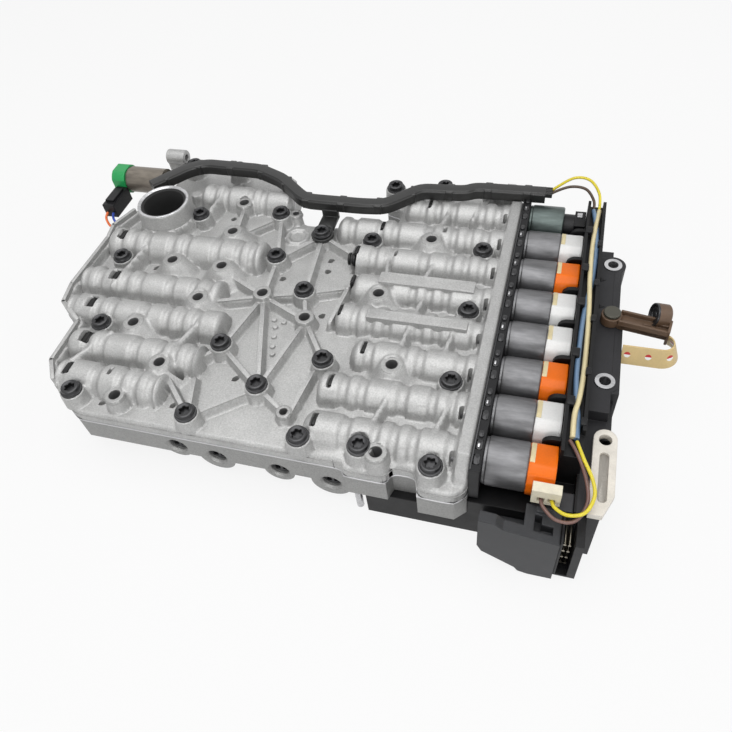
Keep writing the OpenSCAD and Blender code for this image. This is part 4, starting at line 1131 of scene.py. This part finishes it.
@dataclass
class CoverBolts:
    """Flange head bolts with six lobed sockets."""

    tip_z: float = 26.0
    shank_r: float = 2.9
    head_r: float = 6.6

    def build(self) -> None:
        """Makes all the bolts as one piece."""
        line = [(0, self.tip_z), (self.shank_r - 0.5, self.tip_z), (self.shank_r, self.tip_z + 0.6),
                (self.shank_r, SEAT_Z), (self.head_r - 0.1, SEAT_Z), (self.head_r, SEAT_Z + 0.3),
                (self.head_r, SEAT_Z + 1.0), (self.head_r - 0.25, SEAT_Z + 1.3), (5.65, SEAT_Z + 1.4),
                (5.4, SEAT_Z + 1.8), (5.4, HEAD_Z - 0.7), (5.3, HEAD_Z - 0.3), (5.0, HEAD_Z - 0.1),
                (4.5, HEAD_Z), (3.7, HEAD_Z - 0.35), (3.2, HEAD_Z - 0.4), (2.9, HEAD_Z - 0.7),
                (2.75, HEAD_Z - 3.0), (0, HEAD_Z - 3.0)]
        lobes = np.array([0.0] * 15 + [0.10, 0.14, 0.14, 0])
        parts = [lathe(np.asarray(line, float), (*p, 0), 2, 48, lobes) for p in BOLTS]
        make_piece("cover_bolt_set", parts, BOLT, "bolt_black", nodes=["cover_bolts"])


class CapKind(Enum):
    """Kinds of solenoid caps: finish and the record's material slot."""

    WHITE = (CAP_WHITE, "cap_white")
    ORANGE = (CAP_ORANGE, "cap_orange")


@dataclass
class SolenoidBank:
    """Cans, caps and cream strips of the solenoids along the right edge."""

    # Caps of the second solenoid and those after it
    caps: tuple[CapKind, ...] = (CapKind.WHITE, CapKind.ORANGE, CapKind.WHITE, CapKind.WHITE, CapKind.ORANGE,
                                 CapKind.WHITE, CapKind.ORANGE)

    def can(self, k: int) -> Surface:
        """One drawn can with its nose: a stepped profile turned about the bore axis.

        Args:
            k: Row of the solenoid.

        Returns:
            The turned surface.
        """
        nose = EDGE_X - NOSE_IN
        line = [(0, nose), (5.6, nose), (6, nose + 0.5), (6, FACE_X), (12.2, FACE_X), (12.6, FACE_X + 0.5),
                (12.6, FACE_X + 1.6), (12.9, FACE_X + 1.9), (CAN_R, FACE_X + 2.6), (CAN_R, CAP_X - 1.4),
                (CAN_R - 0.2, CAP_X - 0.6), (CAN_R - 0.9, CAP_X), (0, CAP_X)]
        return lathe(np.asarray(line, float), (0, right_y(k), AXIS_Z), 0, 72)

    def cap(self, k: int) -> Surface:
        """One moulded cap: a section with flat top and round front, carried along the bore axis.

        Args:
            k: Row of the solenoid.

        Returns:
            The lofted surface.
        """
        corners = [(11.4, -10.8), (12.1, -4), (12.1, 4.4), (10.2, 8.6), (-4.6, 11.4), (-9.4, 8.5), (-12.2, 3),
                   (-12.2, -4), (-10.4, -10.8)]
        section = round_corners(corners, 1.3, 4, True)
        stations = np.array([0, 0, 0.3, 0.8, CAP_L - 0.9, CAP_L - 0.35, CAP_L, CAP_L])
        scales = np.array([0, 0.975, 0.994, 1, 1, 0.99, 0.962, 0])
        return loft(section, stations, scales, (CAP_X, right_y(k), AXIS_Z), np.eye(3))

    def strip(self, k: int) -> Surface:
        """One cream strip let into the cap's top beside the can: a rounded block tilted with the top.

        Args:
            k: Row of the solenoid.

        Returns:
            The closed surface.
        """
        tilt = -math.degrees(math.atan2(11.4 - 8.6, 14.8))
        middle = (right_y(k) + 3.0, AXIS_Z + 9.95)
        return rounded_block((CAP_X + 0.3, middle[0] - 6.6, middle[1] - 0.6),
                             (CAP_X + 2.9, middle[0] + 6.6, middle[1] + 0.45), 0.15, tilt)

    def strip_clips(self) -> tuple[list[Surface], list[Surface]]:
        """Clips in the strip's windows, the thin plate beside the rim and the spring ends between them.

        Returns:
            The dark clips with the plate, and the bright spring ends.
        """
        top = AXIS_Z + BULGE_R + 3.1
        front, back = right_y(SOLENOIDS - 1) - 15.8, 114.6
        clips = [rounded_block((EDGE_X + 0.3, front, top - 4), (EDGE_X + 1.0, back, top + 0.7), 0.2)]
        springs = []
        for k in range(SOLENOIDS):
            y, x = right_y(k), EDGE_X
            for low, high in ((-3.2, 3.2), (-12.2, -5.8)):
                corner = (x + 4.7, y + high, top + 0.5)
                clips.append(rounded_block((x + 1.3, y + low, top - 2.4), corner, 1.1))
            clips.append(rounded_block((x + 1.6, y + 4.4, top - 1), (x + 4.4, y + 8.6, top + 1.0), 0.9))
            springs.append(rounded_block((x + 2.2, y - 2.0, top + 0.2), (x + 3.2, y + 0.4, top + 0.95), 0.3))
        return clips, springs

    def build(self) -> None:
        """Makes the cans, caps and strips."""
        for k in range(SOLENOIDS):
            make_piece(f"can_shell_{k + 1}", [self.can(k)], CAN if k else CAN_DARK, "can_steel",
                       nodes=[f"solenoid_can_{k + 1}"])
            if k:
                make_piece(f"cap_shell_{k + 1}", [self.cap(k)], *self.caps[k - 1].value,
                           nodes=[f"solenoid_cap_{k + 1}"], sharp=50)
        clips, springs = self.strip_clips()
        make_piece("strip_clip_set", clips, CLIP_GREY, "black_plastic")
        make_piece("strip_clip_springs", springs, MACHINED, "clip_steel")
        y = right_y(0)
        terminal = rounded_block((CAP_X + 8.4, y, AXIS_Z + 8.8), (CAP_X + 12, y + 4.4, AXIS_Z + 9.5), 0.3)
        make_piece("first_cap_terminal", [terminal], MACHINED, "clip_steel")
        strips = [self.strip(k) for k in range(1, SOLENOIDS)]
        make_piece("cap_strips", strips, CREAM, "cream_plastic", nodes=["bobbin_tabs"])


@dataclass(frozen=True)
class Lead:
    """One lead: its name, finish, slot, radius and the points of its route."""

    name: str
    finish: Finish
    slot: str
    radius: float
    route: tuple[Point3, ...]


# A direction that no lead runs along
LEAD_UP: Point3 = (0.31, 0.23, 0.92)
LEAD_R = 0.95
WIRE_R = 1.5
LEADS: tuple[Lead, ...] = (
    Lead("loop_lead_yellow", LEAD_YELLOW, "lead_yellow", LEAD_R,
         ((162, -103.2, 50.5), (163.5, -108.5, 50.8), (170, -112.5, 52.2), (178, -110.5, 53.8),
          (181.7, -102, 56), (180, -94, 58.5), (174.5, -85, 62.2), (170.6, -75.4, 62))),
    Lead("loop_lead_brown", LEAD_BROWN, "lead_yellow", LEAD_R,
         ((156.8, -103.2, 50.5), (158, -108.8, 50.2), (165, -114.8, 49.6), (174, -113.8, 49.8),
          (179, -104.5, 52.8), (177.3, -94, 56.6), (172, -84.2, 62.2), (167, -75.4, 62))),
    Lead("arc_lead_yellow", LEAD_YELLOW, "lead_yellow", LEAD_R,
         ((135.2, 123, 64), (142, 125, 70), (152, 127, 76), (162, 126, 75.5), (169, 121, 69),
          (170.6, 113.3, 61.9))),
    Lead("arc_lead_dark", LEAD_DARK, "lead_yellow", LEAD_R,
         ((135.2, 120, 64), (140, 121.5, 67.5), (150, 123, 71.5), (160, 121.5, 71.5), (166, 117.5, 66),
          (167, 113.3, 61.9))),
    Lead("park_lead_orange", LEAD_ORANGE, "lead_yellow", LEAD_R,
         ((-197, 75.7, 49), (-197, 71, 46), (-190, 65.5, 43), (-181, 66.5, 43), (-172.4, 69.6, 44))),
    Lead("park_lead_blue", LEAD_BLUE, "lead_blue", LEAD_R,
         ((-192, 75.7, 49), (-192, 73, 45), (-187, 70, 41.8), (-180, 70.5, 41.5), (-171.2, 72.4, 42))),
    Lead("channel_wire_cream", WIRE_CREAM, "lead_yellow", WIRE_R,
         ((170.6, 112, 61.8), (169.2, 92, 62.4), (168.4, 70, 62.6), (168.8, 44, 63.4), (170.0, 20, 63.2),
          (170.7, 0, 62.0), (170.7, -30, 61.9), (169.6, -48, 63.2), (168, -60, 63.4), (168.2, -74, 62.4))),
    Lead("channel_wire_blue", WIRE_BLUE, "lead_blue", WIRE_R,
         ((167, 112, 61.8), (169.8, 94, 61.6), (171.0, 74, 61.7), (170.6, 48, 61.6), (168.4, 24, 61.6),
          (167.1, 4, 61.8), (166.9, -30, 61.8), (168.2, -48, 61.7), (169.8, -60, 61.7), (170.2, -74, 61.9))),
)


@dataclass
class Wiring:
    """The harness leads, the wires in the channel and the cable duct."""

    duct_z: float = 61.0
    duct_w: float = 9.2
    duct_h: float = 8.0
    clip_pitch: float = 27.0
    hook_z: Point2 = (62.5, 65.6)
    hook_places: tuple[float, ...] = (88.0, 52.0, 22.0, -18.0, -52.0)

    def leads(self) -> None:
        """Makes each lead as a round tube along its smooth route."""
        for lead in LEADS:
            tube = sweep(smooth_route(lead.route, 10), circle(lead.radius, 12), LEAD_UP)
            make_piece(lead.name, [tube], lead.finish, lead.slot)
        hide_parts("harness_leads")
        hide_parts("channel_wires")

    def duct(self) -> None:
        """Makes the duct, a stepped section swept along its bends, with end comb, lid clips and clip ring."""
        h, w, z = self.duct_h, self.duct_w / 2, self.duct_z
        section = round_corners(
            [(-w, 0), (w, 0), (w, h - 1.6), (w - 0.5, h - 1.3), (w - 1, h), (1 - w, h), (0.5 - w, h - 1.3),
             (-w, h - 1.6)], 0.35, 3, True)
        bends = round_corners(DUCT_PATH, 6, 6)
        parts = [sweep(np.column_stack([bends, np.full(len(bends), z)]), section)]
        run = np.concatenate([[0], np.cumsum(np.linalg.norm(np.diff(bends, axis=0), axis=1))])
        for y in np.arange(-7.2, 0, 1.7) + DUCT_PATH[-1][1] + 4:
            parts.append(rounded_block((132, y - 0.5, z + 4.2), (138.5, y + 0.5, z + h - 0.6), 0.2))
        for at in np.arange(14, run[-1] - 8, self.clip_pitch):
            x, y = (np.interp(at, run, bends[:, i]) for i in (0, 1))
            low, high = (x - 2.6, y - w - 0.7, z + 0.6), (x + 2.6, y + w + 0.7, z + h - 0.5)
            parts.append(rounded_block(low, high, 0.4))
        px, py = BOLTS[CLIP_BOLT]
        z0, z1 = SEAT_Z - 2.9, SEAT_Z - 0.1
        ring = round_corners([(3.3, z0), (8, z0), (8, z1), (3.3, z1), (3.3, z0)], 0.4)
        parts.append(lathe(ring, (px, py, 0), 2, 48))
        parts.append(rounded_block((px - 6, py + 5, z0), (px + 6, py + 23, z1), 0.5))
        parts.append(rounded_block((px - 6, py + 19, z0), (px + 6, py + 23, z + 1), 0.5))
        make_piece("duct_body", parts, DUCT, "black_plastic", nodes=["cable_duct"])

    def hooks(self) -> None:
        """Makes the moulded hooks that hold the wires down in their channel."""
        parts = []
        low, high = self.hook_z
        for y in self.hook_places:
            parts.append(rounded_block((163.2, y - 3, low), (167.4, y + 3, high), 0.4))
            parts.append(rounded_block((171.4, y - 15, low), (174.4, y - 10, high), 0.4))
        make_piece("channel_hooks", parts, BLACK, "black_plastic")

    def build(self) -> None:
        """Makes the wiring."""
        self.leads()
        self.duct()
        self.hooks()


UV_NAME = "along"


@dataclass
class SensorLead:
    """The flat flexible lead of the sensor, built in one pose."""

    start: Point2 = (191.1, -1.85)
    bend: Point2 = (212.6, 5.55)
    bend_r: float = 7.4
    bend_end: float = 66.0
    low_z: float = 45.0
    width: float = 11.5
    lean: float = 4.0
    half_t: float = 0.45
    mark_pitch: float = 11.5
    mark_first: float = 3.2
    mark_up: float = 6.2
    mark_r: float = 1.75
    mark_white: tuple[float, ...] = (0.85, 0.85, 0.83, 1)
    mark_red: tuple[float, ...] = (0.5, 0.02, 0.02, 1)

    def film(self) -> bpy.types.Material:
        """The film's material: its colour with round marks, red above white, along the UV length.

        Returns:
            The material.
        """
        made = FILM.material()
        tree = made.node_tree

        def maths(name: str, value: bpy.types.NodeSocket, other: Any) -> bpy.types.NodeSocket:
            """Output of a new maths node on two values."""
            return add_node(tree, "Math", {0: value, 1: other}, name).outputs[0]

        def mix(share: bpy.types.NodeSocket, first: Any, second: Any) -> bpy.types.NodeSocket:
            """Mixes two colours in a new node.

            Args:
                share: Share of the second colour.
                first: First colour.
                second: Second colour.

            Returns:
                The mixed colour.
            """
            node = tree.nodes.new("ShaderNodeMix")
            node.data_type = "RGBA"
            return feed(tree, node, {0: share, 6: first, 7: second}).outputs[2]

        base = tree.nodes["Principled BSDF"].inputs["Base Color"]
        uv = tree.nodes.new("ShaderNodeUVMap")
        uv.uv_map = UV_NAME
        split = add_node(tree, "SeparateXYZ", {0: uv.outputs["UV"]})
        step = maths("FLOORED_MODULO", split.outputs["X"], self.mark_pitch)
        along = maths("SUBTRACT", step, self.mark_first)
        across = maths("SUBTRACT", split.outputs["Y"], self.mark_up)
        total = maths("ADD", maths("POWER", along, 2.0), maths("POWER", across, 2.0))
        spot = maths("LESS_THAN", total, self.mark_r**2)
        mark = mix(maths("GREATER_THAN", across, 0.0), self.mark_white, self.mark_red)
        tree.links.new(mix(spot, base.links[0].from_socket, mark), base)
        return made

    def build(self) -> None:
        """Makes the ribbon along its run and return bend, with UVs in millimetres along and across."""
        turn = np.radians(np.linspace(-90, self.bend_end, 17))
        run = np.linspace(self.start[0], self.bend[0], 22)[:-1]
        x = np.concatenate([run, self.bend[0] + self.bend_r * np.cos(turn)])
        y = np.concatenate([np.full(len(run), self.start[1]), self.bend[1] + self.bend_r * np.sin(turn)])
        path = np.stack([x, y, np.full(len(x), self.low_z)], 1)
        low, high, t = self.lean * 0.7, -self.lean * 0.3, self.half_t
        section = round_corners([(low - t, 0), (low + t, 0), (high + t, self.width), (high - t, self.width)],
                                0.3, 3, True)
        made = mesh_object("sensor_flat_lead", [sweep(path, section)])
        mesh = made.data
        co = np.zeros(len(mesh.vertices) * 3, np.float32)
        mesh.vertices.foreach_get("co", co)
        co = co.reshape(-1, 3) / MM
        length = np.concatenate([[0], np.cumsum(np.linalg.norm(np.diff(path, axis=0), axis=1))])
        gap = np.hypot(co[:, None, 0] - path[None, :, 0], co[:, None, 1] - path[None, :, 1])
        along = length[gap.argmin(1)]
        index = np.zeros(len(mesh.loops), np.int32)
        mesh.loops.foreach_get("vertex_index", index)
        uvs = np.stack([along[index], co[index, 2] - self.low_z], 1).astype(np.float32)
        mesh.uv_layers.new(name=UV_NAME).data.foreach_set("uv", uvs.ravel())
        mesh.materials.append(self.film())
        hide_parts("sensor_lead")
        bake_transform(made)
        LOG.info("piece %s: %d faces", made.name, len(mesh.polygons))


@dataclass
class SensorArm:
    """The brown arm with its hub, channel shaped bar, round head and pickup, and the cap of its pivot."""

    pivot: Point2 = (183.5, 20.0)
    low_z: float = 53.3
    turn: float = -9.5
    length: float = 33.4
    half_w: float = 4.9
    hub_r: float = 5.9
    cap_r: float = 5.0
    head: Point3 = (206.4, 22.4, 60.6)
    head_r: float = 7.0
    head_l: float = 8.4
    head_turn: float = 11.0
    head_tilt: float = 13.0

    def block(self, low: Point3, high: Point3, radius: float = 0.5) -> Surface:
        """A rounded block given from the pivot and turned with the arm.

        Args:
            low: Lowest corner before turning.
            high: Highest corner before turning.
            radius: Size of the rounding.

        Returns:
            The closed surface.
        """
        at = (*self.pivot, self.low_z)
        made = rounded_block(tuple(np.add(low, at)), tuple(np.add(high, at)), radius)
        return turned(made, self.pivot, self.turn)

    def head_form(self, line: Sequence[Point2]) -> Surface:
        """A profile of (radius, along) points turned about the head's own axis, which leans down outwards.

        Args:
            line: Points of the profile in order.

        Returns:
            The turned surface.
        """
        t, e = math.radians(self.head_turn), math.radians(self.head_tilt)
        along = np.array([math.cos(e) * math.cos(t), math.cos(e) * math.sin(t), -math.sin(e)])
        side = np.array([-math.sin(t), math.cos(t), 0])
        frame = np.array([along, side, np.cross(along, side)])
        points = round_corners(line, 0.2)
        return loft(circle(1.0, 56), points[:, 1], points[:, 0], self.head, frame)

    def build(self) -> None:
        """Makes the arm, its pickup and the pivot's cap."""
        z, w, end, r = self.low_z, self.half_w, self.length, self.head_r
        hub = round_corners([(3.3, z), (self.hub_r, z), (self.hub_r, z + 6.1), (3.3, z + 6.1), (3.3, z)], 0.4)
        parts = [
            lathe(hub, (*self.pivot, 0), 2, 48),
            self.block((4.2, -w, 0), (end, w, 3.6)),
            self.block((4.6, -w, 0), (end, 1.3 - w, 6.6), 0.3),
            self.block((4.6, w - 1.3, 0), (end, w, 6.6), 0.3),
            self.block((end - 1.5, -w, -4.0), (end, w, 7.2), 0.3),
            self.block((end - 9.5, w - 4.2, 0), (end - 1, w, 5.6), 0.3),
            self.block((18, -0.6, 3.2), (22.5, 0.8, 4.2), 0.2),
            self.block((23, w - 1.6, 0), (end, w + 2.4, 5.0), 0.5),
            self.head_form([(0, 1.4), (r - 1.2, 1.4), (r - 1.0, 0.9), (r, 0.9), (r, self.head_l - 0.6),
                            (r - 0.6, self.head_l), (0, self.head_l)]),
        ]
        make_piece("sensor_arm_body", parts, BROWN, "brown_plastic", "sensor", ["sensor_arm"])
        face = self.head_form([(0, 0.5), (1.6, 0.5), (1.8, 0.9), (3.2, 0.9), (3.4, 0.4), (4.6, 0.4),
                               (4.8, 0.9), (r - 1.5, 0.9), (r - 1.3, -0.2), (r - 0.3, -0.2),
                               (r - 0.1, 0.2), (r - 0.1, 1.1), (0, 1.1)])
        make_piece("sensor_pickup_face", [face], CLIP_GREY, "black_plastic", "sensor", ["sensor_pickup"])
        low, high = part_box("sensor_pivot")
        top, foot, shank = high[2] / MM, low[2] / MM, 3.0
        pin = [(0, foot), (shank, foot), (shank, z + 6.2), (self.cap_r - 0.2, z + 6.2), (self.cap_r, z + 6.5),
               (self.cap_r, top - 0.5), (self.cap_r - 0.5, top), (0, top)]
        make_piece("sensor_pivot_pin", [lathe(np.asarray(pin, float), (*self.pivot, 0), 2, 48)], OLIVE,
                   "olive_metal", nodes=["sensor_pivot"])


@dataclass
class ValveSprings:
    """Coil springs behind the spools, one for each spool."""

    coil_r: float = 4.4
    wire_r: float = 0.55
    turns: int = 4
    length: float = 12.0
    travel: float = 3.2
    plug_seat: float = 8.4
    bore_stop: float = 8.0
    play: float = 0.2

    def spring(self, name: str, seat: Point3, towards: int) -> None:
        """One wire along a helix: x = seat + l t, y = r cos(2 pi n t), z = r sin(2 pi n t).

        Args:
            name: Name of the piece.
            seat: Middle of the end that stays still.
            towards: Side of the seat on which the spring lies, 1 or -1 along X.
        """
        t = np.linspace(0, 1, self.turns * 24 + 1)
        run = self.wire_r + self.play + t * (self.length - 2 * (self.wire_r + self.play))
        turn = 2 * math.pi * self.turns * t
        path = np.stack([seat[0] + towards * run, seat[1] + self.coil_r * np.cos(turn),
                         seat[2] + self.coil_r * np.sin(turn)], 1)
        wire = sweep(path, circle(self.wire_r, 8), (1, 0, 0))
        made = make_piece(name, [wire], SPRING, "spring_steel", nodes=["valve_springs"])
        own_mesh(made)

    def build(self) -> None:
        """Makes a spring for each spool of both banks."""
        for k, row in enumerate(RIGHT_ROWS):
            seat = (row[1] + self.plug_seat, right_y(k), AXIS_Z)
            self.spring(f"pilot_spring_{k + 1}", seat, 1)
        for k, row in enumerate(LEFT_ROWS):
            seat = (row[2] - self.bore_stop, row[0], AXIS_Z)
            self.spring(f"shift_spring_{k + 1}", seat, -1)


@dataclass
class FlangeTrim:
    """Rounded outer edge and moulded arrow marks of the module's flange."""

    top_z: float = 53.1
    low_z: float = 46.0
    marks: tuple[Point2, ...] = ((177.4, 55.0), (177.9, 31.5))

    def build(self) -> None:
        """Makes the edge bar and the marks, three sided prisms with a small chamfer."""
        bar = rounded_block((184.0, 24.5, self.low_z), (188.6, 68.0, self.top_z - 0.05), 0.7)
        low = rounded_block((184.5, -60.0, 38.0), (189.2, -33.0, 44.5), 0.7)
        make_piece("flange_edge", [bar, low], MODULE, "black_plastic")
        corners = np.array([(-1.3, -1.7), (1.8, 0), (-1.3, 1.7)])
        stations, scales = np.array([0, 0, 0.5, 0.6, 0.6]), np.array([0, 1, 1, 0.9, 0])
        frame = np.array([[0, 0, 1], [1, 0, 0], [0, 1, 0]], float)
        prisms = [loft(corners, stations, scales, (x, y, self.top_z - 0.3), frame) for x, y in self.marks]
        make_piece("flange_marks", prisms, BLACK, "black_plastic")


@dataclass
class LatchTrim:
    """Floor of the long slot in the latch."""

    low: Point3 = (183.75, -100.2, 47.2)
    high: Point3 = (188.25, -70.8, 47.75)

    def build(self) -> None:
        """Makes the slot's floor, a flat pill."""
        floor = rounded_block(self.low, self.high, 1.1)
        make_piece("latch_slot_floor", [floor], SLOT_GREY, "ivory_plastic", "latch")


NODE_FINISHES: dict[str, Finish] = {
    "separator_plate": PLATE, "channel_housing": CAST_LOWER_SHADE, "module_housing": MODULE,
    "connector_block": SLATE, "connector_shroud": BLACK, "contact_pins": BRASS, "latch_slide": IVORY,
    "retainer_strip": BLACK, "strip_springs": STRIP_STEEL, "solenoid_cap_1": BLACK, "bore_plugs": MACHINED,
    "retaining_clips": CLIP, "suction_seal": RUBBER, "module_sleeves": MACHINED, "park_solenoid_can": TAUPE,
    "park_solenoid_cap": GREEN, "park_plug": BLACK, "two_pin_plug": PLUG, "channel_plugs": PLUG_STEEL,
    "dowel_pin": MACHINED,
}


def dress_nodes(nodes: dict[str, bpy.types.Object]) -> None:
    """Gives each CAD node that stays its finish.

    Args:
        nodes: The frame's nodes by name.
    """
    for name, made in nodes.items():
        finish = SPOOL if "spool" in name else NODE_FINISHES.get(name)
        if finish is not None:
            made.data.materials.clear()
            made.data.materials.append(finish.material())


@dataclass(frozen=True)
class Softbox:
    """One soft area light: place, point that it faces and size in metres, power in watts."""

    name: str
    place: Point3
    aim: Point3
    size: Point2
    power: float

    def build(self) -> None:
        """Adds the light to the scene."""
        data = bpy.data.lights.new(self.name, "AREA")
        data.shape = "RECTANGLE"
        data.size, data.size_y = self.size
        data.energy = self.power
        made = bpy.data.objects.new(self.name, data)
        made.location = self.place
        made.rotation_euler = (Vector(self.aim) - Vector(self.place)).to_track_quat("-Z", "Y").to_euler()
        bpy.context.scene.collection.objects.link(made)


@dataclass
class Studio:
    """Camera, pale floor and soft lights."""

    camera_place: Point3 = (145.9, -277.7, 362.0)
    camera_right: Point3 = (0.9590, 0.2646, -0.1011)
    camera_up: Point3 = (-0.1438, 0.7625, 0.6305)
    camera_back: Point3 = (0.2440, -0.5902, 0.7694)
    lens_mm: float = 33.22
    floor_half: float = 4000.0
    floor_colour: tuple[float, ...] = (0.72, 0.72, 0.72, 1)
    floor_white: float = 0.86
    world_level: float = 0.30
    softboxes: tuple[Softbox, ...] = (
        Softbox("key_softbox", (-0.12, -0.05, 1.15), (0, 0, 0.04), (1.3, 1.0), 8.5),
        Softbox("band_softbox", (0.2, -0.5, 1.1), (0.1, 0, 0.05), (1.2, 0.3), 2.0),
        Softbox("front_softbox", (0.25, -1.1, 0.38), (0.05, 0, 0.05), (1.1, 0.3), 3.6),
        Softbox("side_softbox", (1.1, 0.1, 0.75), (0.05, 0, 0.05), (0.5, 0.8), 2.8),
    )

    def camera(self) -> None:
        """Places the camera at the photo's angle."""
        data = bpy.data.cameras.new("photo_camera")
        data.sensor_width = 36.0
        data.lens = self.lens_mm
        data.clip_start, data.clip_end = 0.01, 50.0
        made = bpy.data.objects.new("photo_camera", data)
        axes = Matrix((self.camera_right, self.camera_up, self.camera_back)).transposed().to_4x4()
        made.matrix_world = Matrix.Translation(Vector(self.camera_place) * MM) @ axes
        bpy.context.scene.collection.objects.link(made)
        bpy.context.scene.camera = made

    def seen_white(self, tree: bpy.types.NodeTree) -> bpy.types.NodeSocket:
        """Adds the share of rays that see the background white: camera, glossy and transmission rays.

        Args:
            tree: Node tree of the floor's material or the world.

        Returns:
            Socket with 1 for those rays and 0 for the others.
        """
        rays = add_node(tree, "LightPath", {}).outputs
        share = rays["Is Camera Ray"]
        for kind in ("Is Glossy Ray", "Is Transmission Ray"):
            share = add_node(tree, "Math", {0: share, 1: rays[kind]}, "MAXIMUM").outputs[0]
        return share

    def floor(self) -> None:
        """Makes the floor, white to the camera and keeping the object's shadow."""
        h = self.floor_half
        corners = np.array([(-h, -h, 0), (h, -h, 0), (h, h, 0), (-h, h, 0)], float)
        made = mesh_object("studio_floor", [Surface(corners, [np.array([[0, 1, 2, 3]])])], closed=False)
        paint = bpy.data.materials.new("pale_floor")
        paint.use_nodes = True
        tree = paint.node_tree
        looks = {"Base Color": self.floor_colour, "Roughness": 0.9}
        shader = feed(tree, tree.nodes["Principled BSDF"], looks)
        glow = add_node(tree, "Emission", {})
        share = add_node(tree, "Math", {0: self.seen_white(tree), 1: self.floor_white}, "MULTIPLY")
        mix = add_node(tree, "MixShader", {0: share.outputs[0], 1: shader.outputs[0], 2: glow.outputs[0]})
        tree.links.new(mix.outputs[0], tree.nodes["Material Output"].inputs["Surface"])
        made.data.materials.append(paint)

    def build(self) -> None:
        """Makes the studio."""
        self.camera()
        self.floor()
        world = bpy.data.worlds.new("studio_world")
        bpy.context.scene.world = world
        world.use_nodes = True
        tree = world.node_tree
        level = add_node(tree, "MapRange", {"Value": self.seen_white(tree), "To Min": self.world_level})
        feed(tree, tree.nodes["Background"], {"Color": (1, 1, 1, 1), "Strength": level.outputs["Result"]})
        for softbox in self.softboxes:
            softbox.build()
        bpy.context.scene.view_settings.view_transform = "Standard"


def main() -> None:
    logging.basicConfig(level=logging.INFO, format="%(message)s")
    for made in list(bpy.data.objects):
        bpy.data.objects.remove(made)
    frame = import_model()
    dress_nodes(frame["nodes"])
    for part in (Studio, CastDeck, CoverBolts, SolenoidBank, ValveSprings, Wiring, SensorLead, SensorArm,
                 FlangeTrim, LatchTrim):
        part().build()
    bpy.context.view_layer.update()


if __name__ == "__main__":
    main()
